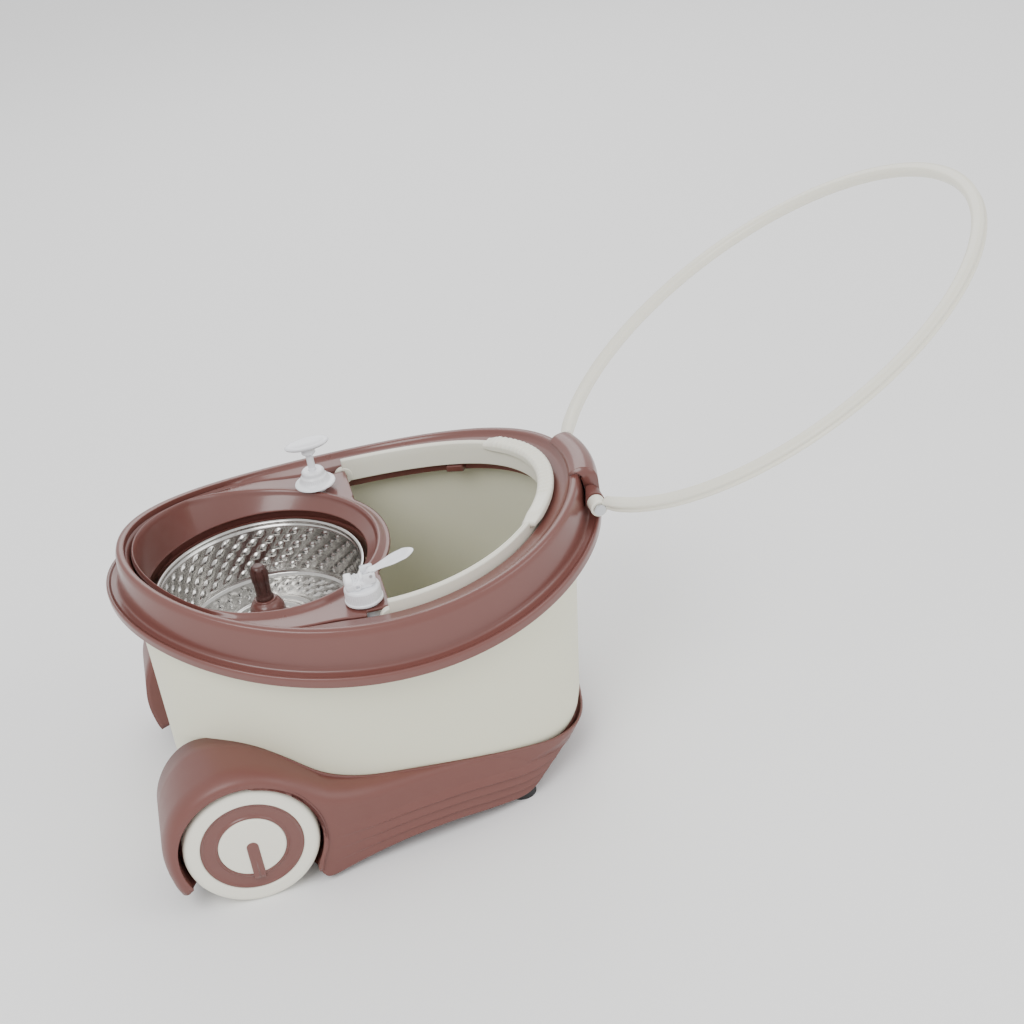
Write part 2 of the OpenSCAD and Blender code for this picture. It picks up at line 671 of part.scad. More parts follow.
// Oval bar in the hoop's own plane: u runs away from the pivots and w across
module pull_hoop() {
    s0 = asin(2 * pivot_y / hoop_w);
    half = hoop_bar / 2;
    steps = 56;
    section = [for (k = [0 : 9]) let (a = 36 * k) [half * cos(a), half * 0.85 * sin(a)]];
    color(ivory) difference() {
        union() {
            loft([for (i = [0 : steps]) let (s = mix(s0 + 2, 358 - s0, i / steps))
                [for (p = section)
                    let (u = hoop_mid - (hoop_l / 2 + p[0]) * cos(s), w = (hoop_w / 2 + p[0]) * sin(s),
                        up = p[1])
                    [pivot_x + u * cos(hoop_angle) - up * sin(hoop_angle), w,
                        pivot_z + u * sin(hoop_angle) + up * cos(hoop_angle)]]]);
            for_each_side() y_rod(8, pivot_x, pivot_z, pivot_y - 6.5, pivot_y + 8.5);
        }
        for_each_side() y_rod(hoop_pin_d / 2 + fit, pivot_x, pivot_z, pivot_y - 30, pivot_y + 9);
        for_each_side() y_rod(hoop_pin_d / 2 + 2 + gap, pivot_x, pivot_z, pivot_y + 8.5, pivot_y + 12);
    }
}

module handle_pins() {
    y = rim_w / 2 - bail_inset;
    color(brown) for_each_side() y_rod(bail_pin_d / 2, bail_x, bail_z, y - 5, y + 7);
}

// Band that follows the rim's rear half, with a broad ribbed grip round the rear
module carry_handle() {
    reach = acos((bail_x - rim_x) / (rim_l / 2 - bail_inset));
    grip = 36;
    o = -bail_inset + bail_t / 2;
    i = -bail_inset - bail_t / 2;
    band = [[o, -20], [i, -20], [i, bail_h - 20], [o, bail_h - 20]];
    pad = [[o + 7, -3], [o, -4], [i, -4], [i - 3, -2], [i - 3, 4], [i, 7], [o + 4, 7], [o + 7, 4]];
    color(ivory) difference() {
        union() {
            loft(rim_loop(band, -reach, reach, 48));
            loft(rim_loop(pad, -grip, grip, 24));
            for_each_side() y_rod(9, bail_x, bail_z, rim_w / 2 + i - 0.6, rim_w / 2 + o - 0.6);
        }
        for_each_side() y_rod(bail_pin_d / 2 + fit, bail_x, bail_z, 90, 200);
    }
}

bucket();
rim_cover();
well_deck();
rear_housing();
hoop_lugs();
undercarriage();
rear_feet();
base_screws();
stub_axle(1);  // stub_axle_left
stub_axle(-1);  // stub_axle_right
push_nut(1);  // push_nut_left
push_nut(-1);  // push_nut_right
basket_holder();
holder_screws();
bush(boss_top - 10, boss_top + 1);  // upper_bush
bush(boss_bottom, boss_bottom + 10);  // lower_bush
pump_bottle();
pump_collar();
dip_tube();
pump_spring();
cap_bottle();
cap_collar();
cap_body();
cap_hinge_pin();
hoop_pins();
handle_pins();
basket_bowl();
basket_hub();
drive_pin();
spindle();
spindle_washer();
spindle_circlip();
hub_rivets();
wheel(1);  // wheel_left
wheel_ring(1);  // wheel_ring_left
wheel_cap(1);  // wheel_cap_left
wheel_bush(1);  // wheel_bush_left
wheel(-1);  // wheel_right
wheel_ring(-1);  // wheel_ring_right
wheel_cap(-1);  // wheel_cap_right
wheel_bush(-1);  // wheel_bush_right
pull_hoop();
carry_handle();
pump_stem();
pump_head();
cap_lever();
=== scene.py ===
"""Looks of a wheeled spin mop bucket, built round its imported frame.

Lengths inside the shape functions are millimetres in the frame's own axes (+X to the pull hoop,
+Z up); they become metres when a surface is put into a mesh.
"""

import math

import bpy
import numpy as np
from mathutils import Matrix, Vector


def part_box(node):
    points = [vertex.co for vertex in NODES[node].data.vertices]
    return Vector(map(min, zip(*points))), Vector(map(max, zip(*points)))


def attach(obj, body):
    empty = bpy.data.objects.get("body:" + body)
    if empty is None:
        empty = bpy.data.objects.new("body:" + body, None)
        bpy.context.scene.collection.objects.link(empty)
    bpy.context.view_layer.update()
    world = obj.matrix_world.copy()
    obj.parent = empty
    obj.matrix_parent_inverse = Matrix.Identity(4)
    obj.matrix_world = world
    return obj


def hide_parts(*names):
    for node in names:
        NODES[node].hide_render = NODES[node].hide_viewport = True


bl_info = {
    "name": "Spin mop bucket",
    "version": (1, 0, 0),
    "blender": (4, 5, 0),
    "location": "View3D > Sidebar > Mop bucket",
    "description": "Builds the finished surfaces of a wheeled spin mop bucket round its frame",
    "category": "Object",
}

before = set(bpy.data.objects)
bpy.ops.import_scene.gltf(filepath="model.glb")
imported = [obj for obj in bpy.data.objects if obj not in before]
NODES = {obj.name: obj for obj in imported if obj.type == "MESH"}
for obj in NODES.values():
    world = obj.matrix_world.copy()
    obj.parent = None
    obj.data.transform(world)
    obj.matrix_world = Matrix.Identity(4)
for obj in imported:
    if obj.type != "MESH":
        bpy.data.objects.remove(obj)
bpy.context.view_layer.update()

MM = 0.001
TAU = 2 * math.pi


def node_box(name):
    """Lowest and highest corner of a frame node, in millimetres."""
    low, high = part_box(name)
    return np.array(low) / MM, np.array(high) / MM


# --- sizes of the frame that the surfaces follow ---

RIM_L, RIM_W, RIM_H, RIM_RISE = 426.0, 338.0, 250.0, 40.0
RIM_X = float(node_box("rim_cover")[0][0]) + RIM_L / 2 + 18
FULLNESS = 0.05
LOW_X, RISE_SPAN = RIM_X + 25.6, 238.6
WALL = 2.5
BASE_L, BASE_W, BASE_X = 392.0, 292.0, RIM_X - 14.4
FOOT_ROUND = 0.68  # power of the foot's superellipse
WALL_FOOT, WALL_DROP = 60.0, 5.3  # where the straight wall starts, and how far below the rim it ends
BASKET_X, BASKET_Z, BASKET_FLOOR = RIM_X - 95, 230.0, 175.0
COLLAR_R, LIP_R = 103.0, 114.0
HUB_H, PIN_R, PIN_H = 28.0, 8.5, 36.0
WHEEL_X, WHEEL_R, WHEEL_W, WHEEL_IN = RIM_X - 157, 61.0, 26.0, 150.0
HOOD_R, ARCH_R, HOOD_Y = 79.0, 65.5, 178.0
PIVOT_X, PIVOT_Y, PIVOT_Z = RIM_X + RIM_L / 2 + 4.5, 65.0, 252.0
HOOP_L, HOOP_W, HOOP_ANGLE = 448.0, 372.0, 27.5
BAIL_X, BAIL_Z, BAIL_INSET, BAIL_T = RIM_X + 8, 237.0, 31.0, 6.0
PUMP_X, PUMP_Y, CAP_X, CAP_Y = RIM_X - 22, 107.0, RIM_X - 10, -116.0
DECK_SINK, DECK_EDGE_X = 6.0, RIM_X + 10
SKIN_GAP = 0.8

# camera: azimuth, elevation and roll in degrees, what it looks at, how far away, and its lens
VIEW = (-8.643, 29.86, -9.598)
TARGET = (RIM_X + 148.8, 0.0, 228.6)
DISTANCE, LENS, SENSOR = 1674.1, 62.22, 36.0
FLOOR_REACH = 30.0  # metres


def rim_z(x):
    """Height of the rim's top edge: lowest behind the middle, rising as the square of the distance."""
    return RIM_H + RIM_RISE * ((x - LOW_X) / RISE_SPAN) ** 2


PUMP_Z = rim_z(PUMP_X) - DECK_SINK
CAP_Z = rim_z(CAP_X) - DECK_SINK


def rim_points(t, out, drop):
    """Points at angle t round the rim's egg outline, moved out by `out` and set `drop` from its top."""
    x = RIM_X + (RIM_L / 2 + out) * np.cos(t)
    y = (RIM_W / 2 + out) * np.sin(t) * (1 + FULLNESS * np.cos(t))
    return np.stack([x, y, rim_z(x) + drop], -1)


def smooth01(u):
    """0 below 0, 1 above 1, and a soft S between."""
    u = np.clip(u, 0.0, 1.0)
    return u * u * (3 - 2 * u)


def deck_share(t):
    """How much of the sunk deck the rim itself carries at angle t: all beside the water opening."""
    a = np.abs((np.degrees(t) + 180) % 360 - 180)
    return 1 - smooth01((a - 97) / 25)


def inward(out, t):
    """The section's inner offsets, drawn in towards the rim where the well takes the deck's place."""
    s = deck_share(t)
    return np.where(out > -6, out, np.where(out > -23, -6 + (out + 6) * s, out + 17 * (1 - s)))


def foot_points(t, inset, z):
    """Rounded oblong of the tub's foot: a superellipse at angle t, moved in by `inset`."""
    c, s = np.cos(t), np.sin(t)
    x = BASE_X + (BASE_L / 2 - inset) * np.sign(c) * np.abs(c) ** FOOT_ROUND
    y = (BASE_W / 2 - inset) * np.sign(s) * np.abs(s) ** FOOT_ROUND
    return np.stack(np.broadcast_arrays(x, y, z), -1).astype(float)


def tub_points(t, share, out):
    """Tub wall at angle t: a straight blend from its foot (share 0) to just under the rim (share 1)."""
    low = foot_points(t, -out, WALL_FOOT)
    high = rim_points(t, out - WALL, -WALL_DROP)
    return low + (high - low) * share


# --- meshes from surfaces ---


def rounded(points, radius, steps=4, closed=True):
    """A polyline with each corner turned into a short parabola of about `radius`, and a hold point
    on each side of it, so that flats stay flat under smooth shading. Radius may be one per corner."""
    p = np.asarray(points, float)
    n = len(p)
    r = np.broadcast_to(np.asarray(radius, float), (n,))
    before, after = np.roll(p, 1, 0), np.roll(p, -1, 0)
    la, lb = np.linalg.norm(before - p, axis=1), np.linalg.norm(after - p, axis=1)
    cut = np.minimum(r, 0.42 * np.minimum(la, lb))[:, None]
    a = (before - p) / np.maximum(la, 1e-9)[:, None]
    b = (after - p) / np.maximum(lb, 1e-9)[:, None]
    u = np.linspace(0, 1, steps + 1)[None, :, None]
    start, end = (p + a * cut)[:, None], (p + b * cut)[:, None]
    bend = (1 - u) ** 2 * start + 2 * u * (1 - u) * p[:, None] + u * u * end
    hold = 0.18 * cut[:, None]
    rows = np.concatenate([start + a[:, None] * hold, bend, end + b[:, None] * hold], 1)
    if closed:
        return rows.reshape(-1, p.shape[1])
    return np.concatenate([p[:1], rows[1:-1].reshape(-1, p.shape[1]), p[-1:]])


def spread(points, step):
    """A polyline cut into pieces no longer than about `step`."""
    p = np.asarray(points, float)
    d = np.linalg.norm(np.diff(p, axis=0), axis=1)
    counts = np.maximum(1, np.ceil(d / step)).astype(int)
    parts = [p[i] + (p[i + 1] - p[i]) * np.arange(c)[:, None] / c for i, c in enumerate(counts)]
    return np.concatenate(parts + [p[-1:]])


def skin(grid, wrap_rows=False, wrap_cols=True, caps=False):
    """Quads over a grid of points (rows, columns, 3); caps close the first and last row with a fan.
    A closed result is turned so that its faces point outwards."""
    g = np.asarray(grid, float)
    m, n = g.shape[:2]
    idx = np.arange(m * n).reshape(m, n)
    rows = np.concatenate([idx, idx[:1]]) if wrap_rows else idx
    cols = np.concatenate([rows, rows[:, :1]], 1) if wrap_cols else rows
    quads = np.stack([cols[:-1, :-1], cols[1:, :-1], cols[1:, 1:], cols[:-1, 1:]], -1).reshape(-1, 4)
    verts = g.reshape(-1, 3)
    tris = np.zeros((0, 3), int)
    if caps:
        extra = np.stack([g[0].mean(0), g[-1].mean(0)])
        a, b = idx[0], idx[-1]
        first = np.stack([a, np.roll(a, -1), np.full(n, m * n)], -1)
        last = np.stack([np.roll(b, -1), b, np.full(n, m * n + 1)], -1)
        verts, tris = np.concatenate([verts, extra]), np.concatenate([first, last])
    if (wrap_rows or caps) and volume(verts, quads, tris) < 0:
        quads, tris = quads[:, ::-1], tris[:, ::-1]
    return verts, quads, tris


def volume(verts, quads, tris):
    """Signed volume inside the faces."""
    t = np.concatenate([quads[:, :3], quads[:, [0, 2, 3]], tris])
    a, b, c = verts[t[:, 0]], verts[t[:, 1]], verts[t[:, 2]]
    return float((a * np.cross(b, c)).sum())


def flipped(part):
    """The same faces pointing the other way."""
    verts, quads, tris = part
    return verts, quads[:, ::-1], tris[:, ::-1]


def outward(verts, quads, tris):
    """A closed part with its faces turned to point outwards."""
    part = verts, quads, tris
    return part if volume(*part) > 0 else flipped(part)


def mirrored(part):
    """The part on the other side of the middle plane, with its faces still pointing outwards."""
    verts, quads, tris = part
    return verts * np.array([1, -1, 1]), quads[:, ::-1], tris[:, ::-1]


def round_axis(profile, segments, about, scale, floor):
    """Grid of points from (radius, height) pairs carried round the Z axis through `about`. No radius is
    less than `floor`, and `scale` may be a function of (angle, radius, height) for changed radii."""
    p = np.asarray(profile, float)
    t = np.linspace(0, TAU, segments, endpoint=False)
    r = np.broadcast_to(np.maximum(p[:, 0], floor)[:, None], (len(p), segments))
    if scale is not None:
        r = scale(t[None], r, p[:, 1][:, None])
    g = np.stack([r * np.cos(t), r * np.sin(t), np.broadcast_to(p[:, 1][:, None], r.shape)], -1)
    return g + np.asarray(about, float)


def turned(profile, segments=160, about=(0, 0, 0), scale=None):
    """Closed profile of (radius, height) carried round the axis."""
    return skin(round_axis(profile, segments, about, scale, 1e-4), wrap_rows=True)


def lathe(profile, segments=160, about=(0, 0, 0), scale=None):
    """Open profile from the axis to the axis, carried round it and closed by two small fans."""
    return skin(round_axis(profile, segments, about, scale, 0.02), caps=True)


def place(name, parts, body, material, nodes=(), thick=0.0):
    """One object from mesh parts in millimetres, riding on a body in place of the frame's nodes."""
    verts, quads, tris, base = [], [], [], 0
    for v, q, t in parts:
        verts.append(v)
        quads.append(q + base)
        tris.append(t + base)
        base += len(v)
    verts, quads, tris = np.concatenate(verts) * MM, np.concatenate(quads), np.concatenate(tris)
    mesh = bpy.data.meshes.new(name)
    mesh.vertices.add(len(verts))
    mesh.vertices.foreach_set("co", verts.astype(np.float32).ravel())
    loops = np.concatenate([quads.ravel(), tris.ravel()]).astype(np.int32)
    starts = np.concatenate([np.arange(len(quads)) * 4, len(quads) * 4 + np.arange(len(tris)) * 3])
    mesh.loops.add(len(loops))
    mesh.loops.foreach_set("vertex_index", loops)
    mesh.polygons.add(len(starts))
    mesh.polygons.foreach_set("loop_start", starts.astype(np.int32))
    mesh.polygons.foreach_set("use_smooth", np.ones(len(starts), bool))
    mesh.update(calc_edges=True)
    mesh.validate()
    mesh.materials.append(material)
    obj = bpy.data.objects.new(name, mesh)
    bpy.context.scene.collection.objects.link(obj)
    if thick:
        wall = obj.modifiers.new("wall", "SOLIDIFY")
        wall.thickness, wall.offset, wall.use_even_offset = thick * MM, -1.0, False
    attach(obj, body)
    if nodes:
        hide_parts(*nodes)
    return obj


# --- materials ---


def group(name, inputs, outputs):
    """A shader node group with float or colour sockets; returns the tree, its input and its output."""
    tree = bpy.data.node_groups.new(name, "ShaderNodeTree")
    kinds = {"f": "NodeSocketFloat", "c": "NodeSocketColor", "v": "NodeSocketVector"}
    for label, kind, default in inputs:
        socket = tree.interface.new_socket(name=label, in_out="INPUT", socket_type=kinds[kind])
        if default is not None:
            socket.default_value = default
    for label, kind in outputs:
        tree.interface.new_socket(name=label, in_out="OUTPUT", socket_type=kinds[kind])
    return tree, tree.nodes.new("NodeGroupInput"), tree.nodes.new("NodeGroupOutput")


def noise(tree, vector, scale, detail=4.0, rough=0.5, distortion=0.0):
    """Noise texture on the given vector socket; returns its factor socket."""
    n = tree.nodes.new("ShaderNodeTexNoise")
    n.inputs["Scale"].default_value = scale
    n.inputs["Detail"].default_value = detail
    n.inputs["Roughness"].default_value = rough
    n.inputs["Distortion"].default_value = distortion
    tree.links.new(vector, n.inputs["Vector"])
    return n.outputs["Fac"]


def ramp(tree, value, stops):
    """Map range with a soft step between two stops: (from low, from high, to low, to high)."""
    n = tree.nodes.new("ShaderNodeMapRange")
    n.interpolation_type = "SMOOTHSTEP"
    for key, v in zip(("From Min", "From Max", "To Min", "To Max"), stops):
        n.inputs[key].default_value = v
    tree.links.new(value, n.inputs["Value"])
    return n.outputs["Result"]


def math_node(tree, op, a, b=None):
    """Math node; a and b are sockets or numbers."""
    n = tree.nodes.new("ShaderNodeMath")
    n.operation = op
    for k, v in enumerate((a, b)):
        if v is None:
            continue
        if isinstance(v, (int, float)):
            n.inputs[k].default_value = v
        else:
            tree.links.new(v, n.inputs[k])
    return n.outputs[0]


def blend(tree, share, first, second):
    """Colour mix of two sockets by a share socket."""
    mix = tree.nodes.new("ShaderNodeMix")
    mix.data_type = "RGBA"
    for value, k in ((share, "Factor"), (first, 6), (second, 7)):
        tree.links.new(value, mix.inputs[k])
    return mix.outputs[2]


def wired(tree, ends, colour, rough, height):
    """The group with its three results led to its output node."""
    for value, label in ((colour, "Colour"), (rough, "Roughness"), (height, "Height")):
        tree.links.new(value, ends.inputs[label])
    return tree


def moulded_group():
    """Moulded plastic: slow colour drift, fine satin grain and faint scuffs."""
    tree, gi, go = group(
        "moulded_plastic",
        [("Colour", "c", (0.5, 0.5, 0.5, 1)), ("Dark colour", "c", (0.3, 0.3, 0.3, 1)), ("Drift", "f", 0.3),
         ("Roughness", "f", 0.4), ("Scuffs", "f", 0.3), ("Grain size", "f", 1.0)],
        [("Colour", "c"), ("Roughness", "f"), ("Height", "f")],
    )
    co = tree.nodes.new("ShaderNodeTexCoord").outputs["Object"]
    slow = noise(tree, co, 9.0, 3.0, 0.55, 0.4)
    cloud = noise(tree, co, 38.0, 4.0, 0.6)
    drift = math_node(tree, "MULTIPLY", math_node(tree, "ADD", slow, math_node(tree, "MULTIPLY", cloud, 0.5)),
                      gi.outputs["Drift"])
    colour = blend(tree, drift, gi.outputs["Colour"], gi.outputs["Dark colour"])
    stretch = tree.nodes.new("ShaderNodeMapping")
    stretch.inputs["Scale"].default_value = (30.0, 210.0, 170.0)
    stretch.inputs["Rotation"].default_value = (0.3, 0.5, 0.7)
    tree.links.new(co, stretch.inputs["Vector"])
    scratch = ramp(tree, noise(tree, stretch.outputs[0], 1.0, 3.0, 0.7, 0.6), (0.64, 0.75, 0.0, 1.0))
    patches = ramp(tree, noise(tree, co, 22.0, 2.0), (0.45, 0.7, 0.0, 1.0))
    scuff = math_node(tree, "MULTIPLY", math_node(tree, "MULTIPLY", scratch, patches), gi.outputs["Scuffs"])
    grain_scale = math_node(tree, "MULTIPLY", gi.outputs["Grain size"], 1500.0)
    fine = tree.nodes.new("ShaderNodeTexNoise")
    fine.inputs["Detail"].default_value = 2.0
    tree.links.new(co, fine.inputs["Vector"])
    tree.links.new(grain_scale, fine.inputs["Scale"])
    rough = math_node(tree, "ADD", gi.outputs["Roughness"], math_node(tree, "MULTIPLY", scuff, 0.25))
    rough = math_node(tree, "ADD", rough, math_node(tree, "MULTIPLY", math_node(tree, "SUBTRACT", cloud, 0.5), 0.12))
    height = math_node(tree, "ADD", fine.outputs["Fac"], math_node(tree, "MULTIPLY", slow, 2.0))
    height = math_node(tree, "SUBTRACT", height, math_node(tree, "MULTIPLY", scuff, 1.2))
    return wired(tree, go, colour, rough, height)


def worn_metal_group():
    """Bright metal: fine hairlines, cloudy polish and small water marks."""
    tree, gi, go = group(
        "worn_metal",
        [("Colour", "c", (0.7, 0.7, 0.7, 1)), ("Stain colour", "c", (0.4, 0.4, 0.4, 1)), ("Roughness", "f", 0.2),
         ("Hairlines", "f", 0.5), ("Marks", "f", 0.3)],
        [("Colour", "c"), ("Roughness", "f"), ("Height", "f")],
    )
    co = tree.nodes.new("ShaderNodeTexCoord").outputs["Object"]
    stretch = tree.nodes.new("ShaderNodeMapping")
    stretch.inputs["Scale"].default_value = (70.0, 70.0, 1500.0)
    tree.links.new(co, stretch.inputs["Vector"])
    lines = noise(tree, stretch.outputs[0], 1.0, 3.0, 0.6)
    cloud = noise(tree, co, 45.0, 4.0, 0.6)
    marks = math_node(tree, "MULTIPLY", ramp(tree, noise(tree, co, 130.0, 2.0, 0.5, 0.8), (0.58, 0.72, 0.0, 1.0)),
                      gi.outputs["Marks"])
    colour = blend(tree, marks, gi.outputs["Colour"], gi.outputs["Stain colour"])
    rough = math_node(tree, "ADD", gi.outputs["Roughness"],
                      math_node(tree, "MULTIPLY", math_node(tree, "SUBTRACT", cloud, 0.5), 0.2))
    rough = math_node(tree, "ADD", rough, math_node(tree, "MULTIPLY", marks, 0.2))
    height = math_node(tree, "ADD", math_node(tree, "MULTIPLY", lines, gi.outputs["Hairlines"]),
                       math_node(tree, "MULTIPLY", cloud, 0.15))
    return wired(tree, go, colour, rough, height)


def finish_material(name, tree, values, bump=(0.1, 0.0002), **sockets):
    """A Principled material fed by one of the groups; `sockets` are constants set on the shader itself."""
    m = bpy.data.materials.new(name)
    m.use_nodes = True
    nt = m.node_tree
    shader = nt.nodes["Principled BSDF"]
    g = nt.nodes.new("ShaderNodeGroup")
    g.node_tree = tree
    for key, v in values.items():
        g.inputs[key].default_value = v
    b = nt.nodes.new("ShaderNodeBump")
    b.inputs["Strength"].default_value, b.inputs["Distance"].default_value = bump
    nt.links.new(g.outputs["Height"], b.inputs["Height"])
    nt.links.new(g.outputs["Colour"], shader.inputs["Base Color"])
    nt.links.new(g.outputs["Roughness"], shader.inputs["Roughness"])
    nt.links.new(b.outputs["Normal"], shader.inputs["Normal"])
    for key, v in sockets.items():
        shader.inputs[key.replace("_", " ")].default_value = v
    return m


MATERIALS = {}


def rgba(colour):
    """The colour with its alpha set to 1."""
    return (*colour[:3], 1.0)


def shade(colour, share):
    """A darker copy of a colour."""
    return tuple(c * share for c in colour[:3]) + (1.0,)


def make_materials(colours):
    """Every finish, from the colours in the sidebar."""
    plastic, metal = moulded_group(), worn_metal_group()
    brown, cream, ivory, white = colours.brown, colours.cream, colours.ivory, colours.white

    def moulded(name, colour, rough, scuffs, grain, bump, dark=0.86, drift=0.35, **sockets):
        MATERIALS[name] = finish_material(
            name, plastic,
            {"Colour": rgba(colour), "Dark colour": shade(colour, dark), "Drift": drift, "Roughness": rough,
             "Scuffs": scuffs, "Grain size": grain}, bump, **sockets)

    moulded("brown_gloss", brown, 0.30, 0.35, 1.0, (0.12, 0.00012), Coat_Weight=0.25, Coat_Roughness=0.12)
    moulded("brown_satin", brown, 0.42, 0.5, 0.8, (0.25, 0.00018))
    moulded("brown_pin", shade(brown, 0.45), 0.3, 0.4, 1.0, (0.15, 0.0002))
    moulded("cream_matte", cream, 0.52, 0.3, 0.7, (0.22, 0.0002), dark=0.93, Subsurface_Weight=0.06,
            Subsurface_Radius=(0.004, 0.003, 0.002))
    moulded("ivory_gloss", ivory, 0.34, 0.35, 1.0, (0.1, 0.00015), dark=0.93, Coat_Weight=0.15,
            Coat_Roughness=0.2, Subsurface_Weight=0.05, Subsurface_Radius=(0.004, 0.003, 0.002))
    moulded("ivory_satin", ivory, 0.45, 0.5, 0.8, (0.2, 0.0002), dark=0.92)
    moulded("white_gloss", white, 0.24, 0.2, 1.0, (0.08, 0.0001), dark=0.95, Coat_Weight=0.3,
            Coat_Roughness=0.1, Subsurface_Weight=0.08, Subsurface_Radius=(0.003, 0.003, 0.003))
    moulded("milky_bottle", shade(white, 0.92), 0.4, 0.2, 0.8, (0.1, 0.0002), dark=0.9, Subsurface_Weight=0.2,
            Subsurface_Radius=(0.004, 0.004, 0.004))
    moulded("black_rubber", (0.022, 0.022, 0.023, 1), 0.7, 0.6, 0.5, (0.5, 0.0003), dark=0.6, drift=0.6)
    # Black nylon for the bushes; the same material paints the basket's drain holes black, as painted shade in place
    # of openings.
    moulded("black_nylon_and_hole_shade", (0.03, 0.03, 0.032, 1), 0.5, 0.3, 0.8, (0.2, 0.0002), dark=0.7)

    def metallic(name, colour, stain, rough, lines, marks, bump, **sockets):
        MATERIALS[name] = finish_material(
            name, metal, {"Colour": rgba(colour), "Stain colour": rgba(stain), "Roughness": rough,
                          "Hairlines": lines, "Marks": marks}, bump, Metallic=1.0, **sockets)

    metallic("bright_steel", (0.52, 0.51, 0.49, 1), (0.24, 0.23, 0.21, 1), 0.17, 0.35, 0.3, (0.12, 0.00015))
    metallic("zinc_plate", (0.58, 0.59, 0.60, 1), (0.36, 0.35, 0.33, 1), 0.34, 0.6, 0.5, (0.2, 0.0002))


# --- rim and tub ---


def ring_of(profile, t, radius=1.4, steps=4):
    """A closed section of (offset, drop) corners, rounded and carried round the rim at angles t."""
    p = rounded(profile, radius, steps)
    out, tt = inward(p[:, 0][None, :], t[:, None]), t[:, None]
    return rim_points(tt, out, p[:, 1][None, :])


def rim_parts():
    """Rim moulding: flange with a raised bead, leaning skirt, rounded top, shallow groove and sunk deck
    in one section that is carried round the egg outline, with two small rest tabs under the handle."""
    section = [
        (18.0, -48.0), (15.5, -48.0), (15.5, -41.5), (3.5, -36.5), (-1.8, -5.0), (-7.0, -5.0), (-22.0, -8.0),
        (-24.5, -11.0), (-24.5, -30.0), (-27.0, -30.0), (-27.0, -9.0), (-24.5, -5.8), (-11.0, -4.0),
        (-8.0, -2.6), (-6.4, -0.3), (-3.0, 0.2), (0.4, -1.2), (2.2, -6.0), (6.0, -35.0), (7.4, -38.2),
        (13.6, -39.4), (15.2, -38.2), (17.4, -38.6), (18.3, -41.0),
    ]
    radii = [0.8, 0.8, 2, 3, 2, 1, 3, 1.5, 1, 1, 2.2, 2.0, 3, 1.5, 1.8, 2.4, 2.6, 6, 3, 2.0, 1.2, 1.0, 1.2,
             1.2]
    t = np.linspace(0, TAU, 360, endpoint=False)
    parts = [skin(ring_of(section, t, radii), wrap_rows=True)]
    for at in (50, -50):
        tab_t = np.radians(np.linspace(at - 3, at + 3, 9))
        tab = [(-26.0, -29.0), (-33.0, -29.0), (-34.5, -27.0), (-34.5, -21.5), (-26.0, -21.5)]
        parts.append(skin(ring_of(tab, tab_t, 1.2), caps=True))
    return parts


def tub_parts():
    """Tub: outer wall from the rounded foot up to the rim, over the edge and down the inside, each ring
    blended between the foot's superellipse and the rim's egg."""
    t = np.linspace(0, TAU, 300, endpoint=False)
    bend = rounded([(60.0, 22.0), (34, 22.0), (23, 25.0), (10, 33.0), (3, 45.0), (0, 60.0)], 9, 4, closed=False)
    bend = bend[bend[:, 1] < 59.5]
    low = [foot_points(t, i, z) for i, z in bend]
    wall = [tub_points(t, s, 0.0) for s in np.linspace(0, 1, 26)]
    inner = [tub_points(t, s, -WALL) for s in np.linspace(1, 0, 26)]
    inside = [foot_points(t, i + WALL, z + WALL * 0.9) for i, z in bend[::-1]]
    return [skin(np.stack(low + wall + inner + inside), caps=True)]


# --- well round the basket ---


def rim_reach(t, inset):
    """Distance from the basket's axis along angle t to the rim's outline moved in by `inset`, halved in on."""
    low, high = np.zeros_like(t), np.full_like(t, 420.0)
    for _ in range(26):
        r = (low + high) / 2
        x, y = BASKET_X + r * np.cos(t), r * np.sin(t)
        c = (x - RIM_X) / (RIM_L / 2 - inset)
        half = (RIM_W / 2 - inset) * np.sqrt(np.maximum(1 - c * c, 0)) * (1 + FULLNESS * c)
        inside = (np.abs(c) < 1) & (np.abs(y) < half)
        low, high = np.where(inside, r, low), np.where(inside, high, r)
    return low


def deck_reach(t, lip):
    """Outer edge of the deck seen from the basket's axis: the rim's skirt, the straight front edge of the
    water opening, a band round the well, and a notch for each end of the carry handle."""
    mid = rim_reach(t, 20)
    x, y = BASKET_X + mid * np.cos(t), mid * np.sin(t)
    share = deck_share(np.arctan2(y / RIM_W, (x - RIM_X) / RIM_L))
    skirt = rim_reach(t, 27.8 - 17 * (1 - share))
    ahead = np.cos(t)
    straight = np.where(ahead > 0.02, (DECK_EDGE_X - BASKET_X) / np.maximum(ahead, 0.02), 999.0)
    reach = np.minimum(skirt, np.maximum(straight, LIP_R + 12))
    side = 132.8 / np.maximum(np.abs(np.sin(t)), 1e-3)
    notch = np.where(ahead > 0.02, np.maximum((BAIL_X - 20 - BASKET_X) / np.maximum(ahead, 0.02), side), 999.0)
    return np.maximum(np.minimum(reach, notch), lip + 2.5)


